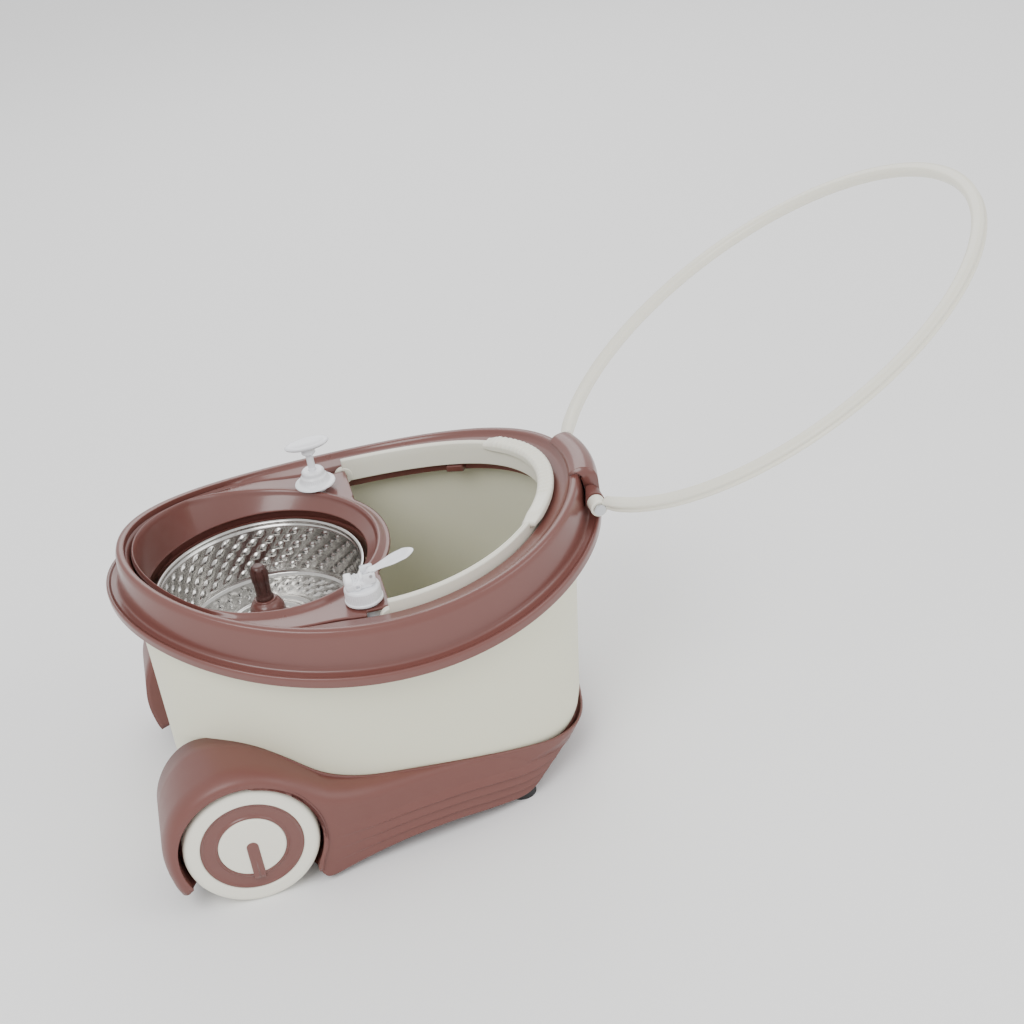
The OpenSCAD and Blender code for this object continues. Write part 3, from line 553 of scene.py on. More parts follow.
def well_parts():
    """Funnel and deck: one section per angle round the basket's axis, from the deck's outer edge over a
    round ridge, down the funnel to the collar, and back underneath."""
    t = np.linspace(0, TAU, 480, endpoint=False)
    lip = np.minimum(LIP_R, rim_reach(t, 13.5))
    outer = deck_reach(t, lip)
    wide = outer - lip
    rows = []

    def row(r, z):
        rows.append(np.stack([BASKET_X + r * np.cos(t), r * np.sin(t), z + 0 * t], -1))

    def top(r, drop):
        row(r, rim_z(BASKET_X + r * np.cos(t)) + drop)

    deck = -DECK_SINK
    ridge = np.minimum(9.0, wide * 0.8)
    top(outer - 1.0, deck - 3.0)
    top(outer, deck - 2.4)
    top(outer, deck - 0.7)
    top(outer - 0.8, deck)
    for f in (0.92, 0.6, 0.3, 0.08):
        top(lip + ridge + (wide - ridge) * f, deck)
    for k in np.linspace(0, 1, 7)[1:]:
        top(lip + ridge * (1 - 0.72 * k), deck + 4.6 * smooth01(k))
    for a in np.linspace(0, 1, 6)[1:]:
        top(lip + ridge * 0.28 - (ridge * 0.28 + 1.2) * a, -1.4 - 5.0 * a ** 2.4)
    start = rim_z(BASKET_X + (lip - 1.2) * np.cos(t)) - 6.4
    r0 = lip - 1.2
    for k in np.linspace(0, 1, 12)[1:]:
        row(r0 + (COLLAR_R + 0.4 - r0) * k, start + (BASKET_Z + 6.5 - start) * k)
    for out, up in ((0.2, 5.9), (0.5, 5.2), (1.4, 4.6), (5.0, 4.4), (5.4, 3.6), (5.4, -12.0), (7.0, -12.0),
                    (7.0, 4.0)):
        row(np.minimum(COLLAR_R + out, lip + 0.4), BASKET_Z + up + 0 * t)
    under = rim_z(BASKET_X + (lip + 1) * np.cos(t)) - 10.0
    row(lip + 1.3, np.minimum(under, BASKET_Z + 40))
    for f in (0.3, 0.95):
        top(lip + 1.3 + (outer - lip - 2.3) * f, deck - 3.0)
    return [skin(np.stack(rows), wrap_rows=True)]


def housing_parts():
    """Rear crescent: a domed section over the rim's rear end whose width and height swell towards the
    middle and fade at both ends."""
    t = np.radians(np.linspace(-12, 12, 61))
    section = [(19.0, -38.0), (9.0, -37.0), (2.6, -2.0), (-1.0, 1.0), (-8.0, 0.8), (-6.4, 3.2), (-2.0, 4.6),
               (4.0, 4.4), (10.0, 2.2), (16.0, -3.0), (19.0, -11.0)]
    radii = [1.0, 1.0, 1.0, 1.0, 1.0, 2.5, 3.5, 4.0, 5.0, 5.0, 5.0]
    return [skin(ring_of(section, t, radii, 5), caps=True)]


# --- undercarriage ---


def softened(rows, reach, passes=3):
    """Columns of points averaged along the path with a short box window, ends kept, to blend joints."""
    p = np.array(rows, float)
    for _ in range(passes):
        padded = np.concatenate([np.repeat(p[:1], reach, 0), p, np.repeat(p[-1:], reach, 0)])
        total = np.cumsum(np.concatenate([np.zeros((1, p.shape[1])), padded]), 0)
        width = 2 * reach + 1
        q = (total[width:] - total[:-width]) / width
        keep = np.minimum(np.arange(len(p)), np.arange(len(p))[::-1]) / reach
        w = np.clip(keep, 0, 1)[:, None]
        p = p * (1 - w) + q * w
    return p


def through(points, n):
    """n points on a Catmull-Rom curve through the given ones."""
    p = np.asarray(points, float)
    p = np.concatenate([2 * p[:1] - p[1:2], p, 2 * p[-1:] - p[-2:-1]])
    u = np.linspace(0, len(p) - 3 - 1e-9, n)
    i = u.astype(int)
    f = (u - i)[:, None]
    a, b, c, d = p[i], p[i + 1], p[i + 2], p[i + 3]
    return 0.5 * (2 * b + (c - a) * f + (2 * a - 5 * b + 4 * c - d) * f**2 + (3 * b - a - 3 * c + d) * f**3)


def wheel_arc(radius, start, end, n, y):
    """Arc about the wheel's axis in the side view, angles in degrees from +X towards +Z."""
    a = np.radians(np.linspace(start, end, n))
    return np.stack([WHEEL_X + radius * np.cos(a), np.full(n, y), WHEEL_R + radius * np.sin(a)], -1)


def wall_share(x, z):
    """How far up the straight wall a point at x and height z lies, from 0 at its foot to 1 at its top."""
    return np.clip((z - WALL_FOOT) / (rim_z(x) - WALL_DROP - WALL_FOOT), 0, 1)


def tub_half_width(x, z):
    """Half width of the tub's wall at x and height z: its foot's superellipse blended towards the rim."""
    c = np.clip(np.abs(x - BASE_X) / (BASE_L / 2), 0, 1)
    foot = BASE_W / 2 * np.sqrt(np.maximum(1 - c ** (2 / FOOT_ROUND), 0)) ** FOOT_ROUND
    k = np.clip((x - RIM_X) / (RIM_L / 2), -1, 1)
    rim = (RIM_W / 2 - WALL) * np.sqrt(1 - k * k) * (1 + FULLNESS * k)
    return foot + (rim - foot) * wall_share(x, z)


def flank_part(louvres, depth):
    """One side of the undercarriage, from the front of the wheel's hood, over it, along the flank and
    round the rear to the middle. Columns run along that path; rows run from the tub's wall out over
    the shoulder, down the face with its louvres, and in under the lower edge."""
    hood, rest = 64, 150
    x = RIM_X
    upper = np.concatenate([wheel_arc(HOOD_R + 1.7, 205, 52, hood, HOOD_Y), through([
        (WHEEL_X + 62, 177.5, 107), (WHEEL_X + 84, 175, 95.5), (x - 40, 167, 85.5), (x + 10, 157.5, 78.5),
        (x + 60, 148, 71), (x + 96, 139, 62), (x + 124, 124, 53), (x + 150, 100, 42), (x + 172, 68, 36),
        (x + 182.5, 34, 34), (x + 185.5, 0, 33.5)], rest)])
    lower = np.concatenate([wheel_arc(ARCH_R, 205, -38, hood, HOOD_Y), through([
        (WHEEL_X + 54, 177, 13), (WHEEL_X + 62, 175.5, 6.5), (x - 62, 168, 9.5), (x - 20, 162, 14.5),
        (x + 24, 155.5, 15.5), (x + 62, 147, 11), (x + 92, 138, 7.5), (x + 108, 130, 11), (x + 122, 117, 18),
        (x + 138, 94, 24), (x + 152, 60, 26), (x + 160, 0, 26)], rest)])
    upper, lower = softened(upper, 5), softened(lower, 2, 1)
    way = np.gradient(upper, axis=0)
    way /= np.linalg.norm(way, axis=1)[:, None]
    in_plan = np.gradient(np.stack([upper[:, 0], upper[:, 1]], -1), axis=0)
    turn = smooth01((np.arange(len(upper)) - hood) / 14.0)[:, None]
    side = np.stack([-in_plan[:, 1], in_plan[:, 0]], -1)
    side /= np.maximum(np.linalg.norm(side, axis=1), 1e-6)[:, None]
    side = np.where((side[:, 1] < 0)[:, None], -side, side)
    out = np.concatenate([side * turn + np.array([0.0, 1.0]) * (1 - turn), np.zeros((len(upper), 1))], 1)
    out /= np.linalg.norm(out, axis=1)[:, None]
    rise = np.cross(out, way)
    rise = np.where((rise[:, 2] - (upper[:, 0] < WHEEL_X) * rise[:, 0] < 0)[:, None], -rise, rise)
    beside = np.maximum(90.0, tub_half_width(upper[:, 0], upper[:, 2]) - 1.3)
    inner_y = softened(np.where(upper[:, 0] < RIM_X - 205, 90.0, beside)[:, None], 4, 2)[:, 0]
    span = np.clip((upper[:, 1] - inner_y) / np.maximum(out[:, 1], 0.3), 4.2, 90.0)
    column = np.arange(len(upper))
    span = softened(np.where(column > hood + 95, 4.2, span)[:, None], 4, 2)[:, 0]
    reach = np.linalg.norm((upper - lower)[:, [0, 2]], axis=1)
    side_r = np.minimum(20.0, span * 0.97)
    room = np.where(column < hood, 9.5, reach * 0.45)
    rise_r = np.minimum(np.minimum(15.0, 2.0 + span * 0.6), room)
    rise_r = softened(rise_r[:, None], 3, 1)[:, 0]
    rows = []
    wall_drop = 60 * (1 - smooth01((column - hood + 18) / 10.0))
    base = upper - rise * rise_r[:, None]
    for f in (1.0, 0.5, 0.06):
        rows.append(upper - out * span[:, None] - rise * (wall_drop * f + 0.6)[:, None])
    for f in (1.0, 0.66, 0.33):
        rows.append(upper - out * (side_r + (span - side_r) * f)[:, None])
    for a in np.radians(np.linspace(90, 0, 11)):
        along, up = side_r * (1 - math.cos(a)), rise_r * math.sin(a)
        rows.append(base - out * along[:, None] + rise * up[:, None])
    shoulder = len(rows)
    fade = smooth01((column - hood - 10) / 45.0)
    for f in np.linspace(0, 1, 91)[1:]:
        step = (f - 0.30) / 0.70 * louvres
        k = step - math.floor(step) if f > 0.30 else 0.0
        bulge = depth * (k / 0.86 if k < 0.86 else (1 - k) / 0.14)
        belly = 2.5 * math.sin(math.pi * f)
        rows.append(base + (lower - base) * f + out * ((bulge + belly) * fade)[:, None])
    for inset, drop in ((0.4, -0.6), (1.4, -0.9), (5.0, -0.6)):
        rows.append(lower - out * inset + np.array([0, 0, 1.0]) * drop * turn)
    grid = np.stack(rows)
    dx, dz = grid[..., 0] - WHEEL_X, grid[..., 2] - WHEEL_R
    clear = np.maximum(ARCH_R / np.maximum(np.hypot(dx, dz), 1.0), 1.0)
    grow = np.where(np.arange(len(rows))[:, None] >= shoulder, clear, 1.0)
    grid[..., 0], grid[..., 2] = WHEEL_X + dx * grow, WHEEL_R + dz * grow
    part = skin(grid, wrap_cols=False)
    verts, quads, _ = part
    a, b, c = verts[quads[:, 0]], verts[quads[:, 1]], verts[quads[:, 2]]
    facing = np.cross(b - a, c - a).reshape(len(rows) - 1, -1, 3)[len(rows) // 2, 100] @ out[100]
    return part if facing > 0 else flipped(part)


def wheel_well():
    """Drum behind one wheel: a flat back and a round wall, carried about the axle over the arch's angles."""
    corners = [(ARCH_R, 176.5), (ARCH_R, 147.5), (12.0, 147.5), (12.0, 145.0), (68.0, 145.0), (68.0, 176.5)]
    profile = rounded(corners, [0.6, 4.0, 0.5, 0.5, 3.0, 0.6], 3)
    a = np.radians(np.linspace(204, -37, 120))[:, None]
    r, y = profile[None, :, 0], profile[None, :, 1]
    grid = np.stack([WHEEL_X + r * np.cos(a), y + 0 * a, WHEEL_R + r * np.sin(a)], -1)
    return skin(grid, caps=True)


def tray_part():
    """Tray under the tub: from the middle of its flat bottom out to the lower edge, then up the outside
    of the tub to the line where it ends."""
    t = np.linspace(0, TAU, 300, endpoint=False)
    x0 = foot_points(t, 10.0, 30.0)[:, 0]
    x = RIM_X
    low = np.interp(x0, [WHEEL_X - 62, WHEEL_X - 42, WHEEL_X - 30, WHEEL_X + 48, x - 70, x - 30, x + 20, x + 60,
                         x + 84, x + 120, x + 150, x + 186], [35, 14, 5, 5, 9, 14, 16, 13, 9, 16, 24, 27])
    hood = WHEEL_R + np.sqrt(np.maximum(HOOD_R**2 - (x0 - WHEEL_X) ** 2, 0)) - 3
    line = np.interp(x0, [WHEEL_X + 62, WHEEL_X + 84, x - 40, x + 10, x + 60, x + 96, x + 124, x + 186],
                     [104, 94, 84.5, 77.5, 70, 61, 51, 33])
    high = np.where(x0 < WHEEL_X + 62, np.maximum(hood, 58), line)
    front = (x0 < WHEEL_X + 40) & (np.abs(foot_points(t, 10.0, 30.0)[:, 1]) < 92)
    high = np.where(front, 36.0, high)
    high = softened(np.concatenate([high[-40:], high, high[:40]])[:, None], 3)[40:-40, 0]
    rows = [foot_points(t, inset, 18.7) for inset in (145.0, 80.0, 33.0, 30.5)]
    rows.append(foot_points(t, 30.0, np.minimum(18.0, low + 2)))
    skin_out = WALL + SKIN_GAP
    for k, f in enumerate(np.linspace(0, 1, 22)):
        z = low + (high - low) * f
        inset = np.interp(z, [0, 24, 42, 60], [26, 10 - skin_out, 1 - skin_out, -skin_out])
        below = foot_points(t, inset, z)
        above = tub_points(t, wall_share(below[:, 0], z)[:, None], skin_out)
        row = np.where((z > WALL_FOOT)[:, None], above, below)
        row[:, 2] = z
        if k == 0:
            rows.append(foot_points(t, inset + 1.5, low))
        rows.append(row)
    verts, quads, tris = skin(np.stack(rows), wrap_cols=True)
    a, b, c = verts[quads[:, 0]], verts[quads[:, 1]], verts[quads[:, 2]]
    last = np.cross(b - a, c - a)[-1]
    part = verts, quads, tris
    return part if last[0] > 0 else flipped(part)


# --- basket ---


def basket_inside(rows, around, depth):
    """Pressed basket: from the middle of the floor, with two round ridges, up the leaning wall with its
    staggered slanting teardrop dimples, over the rolled rim and back down the outside. Also returns a mask
    of the faces at each dimple's drain hole, which are painted black as painted shade in place of an opening."""
    t = np.linspace(0, TAU, 16 * around, endpoint=False)[None, :]
    floor = [(9.0, 175.0)] + [(r, 175.0) for r in np.linspace(12, 80, 46)]
    wall = spread([(81.5, 175.0), (84.5, 176.6), (85.6, 179.0), (94.0, 223.5)], 0.62)
    lip = [(95.0, 225.6), (96.2, 226.2)]
    bend = np.radians(np.linspace(-20, 240, 14))
    roll = [(97.5 - 2.5 * math.cos(a), 227.5 + 2.5 * math.sin(a)) for a in bend]
    back = [(97.4, 224.4), (95.4, 222.6), (87.0, 178.4), (84.0, 174.2), (60.0, 174.0), (9.0, 174.0)]
    p = np.concatenate([floor, wall, lip, roll, back])
    r, z = p[:, :1] + 0 * t, p[:, 1:] + 0 * t
    ridge = 1.4 * np.exp(-(((p[:, :1] - 33) / 2.2) ** 2)) + 1.2 * np.exp(-(((p[:, :1] - 44) / 2.2) ** 2))
    row = np.arange(len(p))[:, None]
    on_floor = row < len(floor)
    z = z + np.where(on_floor, ridge, 0.0)
    on_wall = (row >= len(floor) + 6) & (row < len(floor) + len(wall) - 1)
    floor_rows = 3
    v = np.where(on_floor, (p[:, :1] - 79.0) / 8.5, (z - 181.0) / (222.5 - 181.0) * rows)
    which = np.floor(v)
    u = t / TAU * around + 0.5 * (which % 2)
    du, dv = (u - np.floor(u)) - 0.5, (v - which) - 0.5
    slant = du + 0.35 * dv
    width = 0.20 - 0.11 * dv
    drop = np.exp(-((slant / width) ** 2) * 1.6) * np.clip(1 - (2.1 * dv) ** 2, 0, 1) ** 0.8
    hole = np.exp(-((slant / 0.085) ** 2) - (((dv + 0.16) / 0.10) ** 2))
    push = depth * drop - 1.5 * hole
    inside = (v >= 0) & (v < rows) & on_wall
    below = on_floor & (v >= -floor_rows) & (v < 0)
    r, z = r - np.where(inside, push, 0.0), z + np.where(below, push, 0.0)
    grid = np.stack([BASKET_X + r * np.cos(t), r * np.sin(t), z], -1)
    # Faces at each drain hole: painted shade, drawn dark with the second material instead of an opening.
    hole_shade_faces = ((inside | below) & (hole > 0.3)).astype(float)
    pair = hole_shade_faces + np.roll(hole_shade_faces, -1, 1)
    corners = (pair + np.roll(pair, -1, 0)) / 4
    return skin(grid, caps=False, wrap_cols=True, wrap_rows=True), corners.ravel() >= 0.5


def hub_parts():
    """Hub: flat flange, waist and dome turned about the basket's axis, with a bead round its foot."""
    z = BASKET_FLOOR
    p = rounded([(0.0, z + 0.1), (24, z + 0.1), (24, z + 2.6), (18.4, z + 3.2), (17, z + 6), (17, z + 14),
                 (16.4, z + 19), (13.5, z + 24), (10.6, z + 26.4), (10.2, z + HUB_H + 0.1), (0.0, z + HUB_H + 0.1)],
                [0, 0.8, 0.8, 1.5, 2, 4, 4, 3, 1.5, 0.8, 0], 4, closed=False)
    return [lathe(p, 120, (BASKET_X, 0, 0))]


def pin_parts():
    """Drive pin: six soft flutes that fade out below its domed top and above its foot."""
    z, r = BASKET_FLOOR + HUB_H, PIN_R
    p = rounded([(0.0, z), (r, z), (r, z + 2.4), (r - 1.1, z + 4.5), (r - 0.9, z + 17), (r, z + 21),
                 (r + 0.2, z + PIN_H - 9), (r - 1.3, z + PIN_H - 3.4), (r - 3.4, z + PIN_H - 0.2), (0.0, z + PIN_H)],
                [0, 0.5, 1, 1, 3, 3, 3, 2, 2, 0], 4, closed=False)
    p = spread(p, 1.0)

    def flute(t, rr, h):
        fade = smooth01((h - z - 5) / 3) * smooth01((z + PIN_H - 2.5 - h) / 3)
        return rr - fade * 1.3 * np.maximum(np.cos(6 * t), 0) ** 3 * (rr > 3)

    return [lathe(p, 144, (BASKET_X, 0, 0), flute)]


# --- wheels ---


def about_axle(part, side):
    """A part drawn round Z with its inner face at 0, laid on the axle of the left (1) or right (-1) wheel."""
    v, q, t = part
    v = np.stack([WHEEL_X + v[:, 0], side * (WHEEL_IN + v[:, 2]), WHEEL_R + v[:, 1]], -1)
    return outward(v, q, t)


def wheel_parts(side):
    """Wheel body: rounded tread with two shallow grooves, bevelled cream rim and a sunk face."""
    w, r = WHEEL_W, WHEEL_R
    ring = r * 0.757
    p = rounded([(9.0, 0.0), (20.0, 0.0), (24.0, 3.0), (48.0, 3.0), (51.0, 0.0), (r - 3, 0.0), (r, 3.0), (r, 8.0),
                 (r - 0.9, 8.6), (r - 0.9, 9.6), (r, 10.2), (r, 15.8), (r - 0.9, 16.4), (r - 0.9, 17.4), (r, 18.0),
                 (r, w - 5), (r - 1.5, w - 1.5), (r - 5, w - 0.1), (ring + 1.2, w - 0.1), (ring, w - 1.2),
                 (ring, w - 6.0), (10.0, w - 6.0), (10.0, w - 10.0), (9.0, w - 10.0)],
                [0.5, 1, 1.5, 1.5, 1, 1.5, 2] + [0.3] * 8 + [2.5, 2.0, 2.0, 0.9, 0.7] + [0.3] * 4, 3)
    return [about_axle(turned(p, 200), side)]


def wheel_ring_parts(side):
    """Glossy ring sunk in the wheel's face, with a round-ended bar that runs from it to the middle."""
    w, r = WHEEL_W, WHEEL_R
    outer, inner = r * 0.757 - 0.1, r * 0.5 + 0.1
    p = rounded([(inner, w - 6), (outer, w - 6), (outer, w - 1.8), (outer - 1.2, w - 1.5), (outer - 3.2, w - 3.0),
                 (inner + 3.2, w - 3.0), (inner + 1.3, w - 1.2), (inner, w - 1.5)],
                [0.2, 0.2, 0.6, 0.8, 1.6, 1.6, 0.8, 0.5], 4)
    ring = about_axle(turned(p, 200), side)
    half, reach = r * 0.09, r * 0.5 + 4.5
    a = np.linspace(0, math.pi, 25)
    outline = np.concatenate([np.stack([half * np.cos(a), half * np.sin(a)], -1),
                              np.stack([np.full(12, -half), np.linspace(-2, -reach, 12)], -1),
                              np.stack([np.full(12, half), np.linspace(-reach, -2, 12)], -1)])
    levels = [(1.0, w - 3.2), (1.0, w - 0.6), (0.97, w - 0.15), (0.88, w + 0.25), (0.6, w + 0.4), (0.2, w + 0.42)]
    spine = outline * np.array([0.0, 1.0])
    spine[:, 1] = np.clip(spine[:, 1], -reach, 0)
    rows = [np.concatenate([spine + (outline - spine) * k, np.full((len(outline), 1), h)], 1) for k, h in levels]
    return [ring, about_axle(skin(np.stack(rows), caps=True), side)]


def wheel_cap_parts(side):
    """Cream disc in the wheel's middle, slightly domed, with a soft edge."""
    w, r = WHEEL_W, WHEEL_R * 0.5 - 0.15
    p = rounded([(0.0, w - 5), (r, w - 5), (r, w - 1.6), (r - 1.6, w - 0.8), (r * 0.5, w - 0.5), (0.0, w - 0.45)],
                [0, 0.3, 0.8, 1.2, 3, 0], 4, closed=False)
    return [about_axle(lathe(p, 160), side)]


# --- pull hoop and carry handle ---


def hoop_frame(s, across, up):
    """Point of the hoop's oval at angle s, moved out by `across` in its plane and by `up` off it."""
    u = (HOOP_L / 2 - 8) - (HOOP_L / 2 + across) * np.cos(s)
    w = (HOOP_W / 2 + across) * np.sin(s)
    c, d = math.cos(math.radians(HOOP_ANGLE)), math.sin(math.radians(HOOP_ANGLE))
    return np.stack([PIVOT_X + u * c - up * d, w + 0 * up, PIVOT_Z + u * d + up * c], -1)


def hoop_parts():
    """Hoop bar: a rounded oblong section with a long groove on its outer face and a lip under it,
    carried round the oval between the two eyes; each eye is a turned disc with a sunk middle."""
    s0 = math.asin(2 * PIVOT_Y / HOOP_W)
    s = np.linspace(s0 + math.radians(2), TAU - math.radians(2) - s0, 520)[:, None]
    section = rounded([(6.4, 3.9), (3.2, 5.6), (-3.2, 5.6), (-6.4, 3.2), (-6.4, -3.2), (-3.4, -5.4), (3.6, -5.4),
                       (6.6, -3.8), (6.6, -1.9), (5.1, -0.9), (5.1, 0.9), (6.4, 1.9)],
                      [1.6, 3, 3, 3, 3, 3, 3, 1.4, 0.6, 0.7, 0.7, 0.6], 4)
    end = np.minimum(s - s[0], s[-1] - s)
    slim = 0.86 + 0.14 * smooth01(end / 0.10)
    bar = skin(hoop_frame(s, section[None, :, 0] * slim, section[None, :, 1] * slim), caps=True)
    eye = rounded([(3.6, -6.5), (7.2, -6.5), (8.0, -5.6), (8.0, 7.6), (7.2, 8.5), (5.9, 8.5), (5.7, 8.4), (3.6, 8.4)],
                  [0.2, 0.8, 0.8, 0.8, 0.8, 0.3, 0.3, 0.2], 3)
    v, q, t = turned(eye, 64)
    left = outward(np.stack([PIVOT_X + v[:, 0], PIVOT_Y + v[:, 2], PIVOT_Z + v[:, 1]], -1), q, t)
    return [bar, left, mirrored(left)]


def handle_parts(ribs):
    """Carry handle: a tall thin band with a groove along its top, carried round the rim's rear half; a
    broad grip with fine cross ribs round the rear end, and a turned eye at each end."""
    reach = math.acos((BAIL_X - RIM_X) / (RIM_L / 2 - BAIL_INSET))
    o, i = -BAIL_INSET + BAIL_T / 2, -BAIL_INSET - BAIL_T / 2
    t = np.linspace(-reach, reach, 421)[:, None]
    band = rounded([(o - 0.6, -20), (i, -20), (i, -1.5), (i + 0.4, 3.0), (i + 1.5, 4.0), (i + 2.4, 4.0),
                    (i + 2.9, 3.0), (o - 2.9, 3.0), (o - 2.4, 4.0), (o - 1.2, 4.0), (o, 2.6), (o, -12)],
                   [1, 1, 2, 0.8, 0.5, 0.5, 0.4, 0.4, 0.5, 0.5, 1.2, 2], 3)
    parts = [skin(rim_points(t, band[None, :, 0] + 0 * t, band[None, :, 1] + 0 * t), caps=True)]
    grip = math.radians(36)
    tg = np.linspace(-grip, grip, 20 * ribs + 1)[:, None]
    pad = rounded([(o + 6.4, -2.5), (o + 1, -4), (i - 0.5, -4), (i - 3.2, -2.6), (i - 3.2, 3.6), (i - 0.8, 6.6),
                   (o + 3.6, 6.6), (o + 6.4, 3.8)], [2, 1.5, 1.5, 2, 3.5, 3.5, 3.5, 3.5], 4)
    end = smooth01((grip - np.abs(tg)) / 0.09)
    centre = (o + i) / 2 + 1.6
    swell = 0.86 + 0.14 * end
    wave = np.cos(tg / grip * math.pi * ribs)
    ribbed = smooth01((tg + 0.42) / 0.08) * smooth01((grip * 0.93 - tg) / 0.05)
    lift = np.clip((pad[None, :, 1] - 1.0) / 5.0, 0, 1)
    out = centre + (pad[None, :, 0] - centre) * swell
    up = pad[None, :, 1] * (0.6 + 0.4 * end) - 1.1 * ribbed * lift * (0.5 - 0.5 * wave)
    parts.append(skin(rim_points(tg, out, up), caps=True))
    eye = rounded([(3.1, 0.0), (8.2, 0.0), (9.0, 0.9), (9.0, 5.1), (8.2, 6.0), (3.1, 6.0)],
                  [0.2, 0.8, 0.8, 0.8, 0.8, 0.2], 3)
    v, q, f = turned(eye, 64)
    y0 = RIM_W / 2 + i - 0.6
    left = outward(np.stack([BAIL_X + v[:, 0], y0 + v[:, 2], BAIL_Z + v[:, 1]], -1), q, f)
    return parts + [left, mirrored(left)]


# --- dispensers ---


def pump_collar_parts():
    """Pump collar: broad foot flange, fluted cap that narrows upwards, and a neck with a soft top."""
    p = rounded([(3.9, 22.0), (9.4, 22.2), (11.0, 20.6), (11.4, 17.0), (13.0, 15.2), (14.4, 10.4), (15.5, 9.2),
                 (19.4, 8.4), (20, 7.6), (20, 6.8), (11.8, 6.8), (11.8, 2.6), (6.7, 2.6), (6.7, 6.4), (3.9, 12)],
                [0.5, 1.2, 1.2, 1.5, 1.5, 1, 1, 0.6, 0.4, 0.3, 0.5, 0.3, 0.3, 0.3, 0.3], 4)

    def flutes(t, r, h):
        on = smooth01((h - 10.6) / 0.8) * smooth01((15.0 - h) / 0.8) * (r > 12)
        return r - 0.35 * on * (0.5 - 0.5 * np.cos(40 * t))

    return [turned(spread(np.concatenate([p, p[:1]]), 1.2)[:-1], 240, (PUMP_X, PUMP_Y, PUMP_Z), flutes)]


def pump_stem_parts():
    """Pump stem: a plain rod with two sunk lines and a piston at its foot."""
    p = rounded([(0, -6), (5.3, -6), (5.3, -2), (3.6, -1.6), (3.6, 24), (3.3, 24.4), (3.3, 25.2), (3.6, 25.6),
                 (3.6, 38), (3.3, 38.4), (3.3, 39.2), (3.6, 39.6), (3.6, 47.9), (0, 47.9)], 0.3, 3, closed=False)
    return [lathe(p, 64, (PUMP_X, PUMP_Y, PUMP_Z))]


def oval_pad(half_length, half_width, taper, levels, about, tilt=0.0):
    """Pad from stacked ovals: `taper` makes the -X end narrower; each level is (share, height)."""
    a = np.linspace(0, TAU, 120, endpoint=False)
    x = half_length * np.sign(np.cos(a)) * np.abs(np.cos(a)) ** 0.92
    y = half_width * np.sin(a) * (1 + taper * np.cos(a))
    rows = []
    for share, h in levels:
        rows.append(np.stack([x * share, y * share, h + math.tan(tilt) * x * share], -1))
    return skin(np.stack(rows) + np.asarray(about, float), caps=True)


def pump_head_parts():
    """Pump head: tapered socket under a long oval thumb pad, dished along its top and tilted a little."""
    socket = rounded([(3.75, 40.0), (6.4, 40.0), (7.0, 40.8), (6.6, 44.5), (7.6, 46.6), (7.4, 47.6), (3.75, 47.6)],
                     [0.2, 0.6, 0.8, 1.5, 1, 0.3, 0.2], 4)
    levels = [(0.30, 46.0), (0.62, 46.4), (0.84, 47.4), (0.95, 48.6), (1.0, 49.9), (0.985, 51.0), (0.94, 51.9),
              (0.88, 52.2), (0.72, 51.8), (0.45, 51.3), (0.2, 51.15), (0.04, 51.1)]
    at = (PUMP_X, PUMP_Y, PUMP_Z)
    return [turned(socket, 96, at), oval_pad(22.0, 11.6, 0.10, levels, at, 0.03)]


def cap_collar_parts():
    """Screw collar of the flip cap: fine grips round a short drum with a domed shoulder."""
    p = rounded([(0, 6.5), (14.0, 6.5), (14.1, 2.2), (17, 2.2), (17, 4.2), (16.2, 4.8), (16.2, 14.6), (15.0, 16.9),
                 (0, 17.2)],
                [0, 0.3, 0.3, 0.5, 0.6, 0.3, 1.2, 1.6, 0], 4, closed=False)
    p = spread(p, 1.0)

    def grips(t, r, h):
        on = smooth01((h - 5.2) / 0.8) * smooth01((14.2 - h) / 0.8) * (r > 15)
        return r - 0.4 * on * (0.5 - 0.5 * np.cos(48 * t))

    return [lathe(p, 288, (CAP_X, CAP_Y, CAP_Z), grips)]


def soft_block(x0, x1, y0, y1, z0, z1, r=1.2, about=(0, 0, 0)):
    """Block with rounded edges: a rounded oblong outline, lofted through a rounded profile of insets."""
    corner = np.radians(np.linspace(0, 90, 7))
    levels = [(r, z0), (r * 0.3, z0 + r * 0.3), (0, z0 + r), (0, z1 - r), (r * 0.3, z1 - r * 0.3), (r, z1),
              (r * 1.5, z1)]
    rows = []
    for inset, h in levels:
        rr = max(r * 1.4 - inset * 0.5, 0.3)
        pts = []
        for cx, cy, a0 in ((x1, y1, 0), (x0, y1, 90), (x0, y0, 180), (x1, y0, 270)):
            sx, sy = (1 if cx == x1 else -1), (1 if cy == y1 else -1)
            ox, oy = cx - sx * (inset + rr), cy - sy * (inset + rr)
            a = corner + math.radians(a0)
            pts.append(np.stack([ox + rr * np.cos(a), oy + rr * np.sin(a), np.full(7, h)], -1))
        rows.append(np.concatenate(pts))
    return skin(np.stack(rows) + np.asarray(about, float), caps=True)


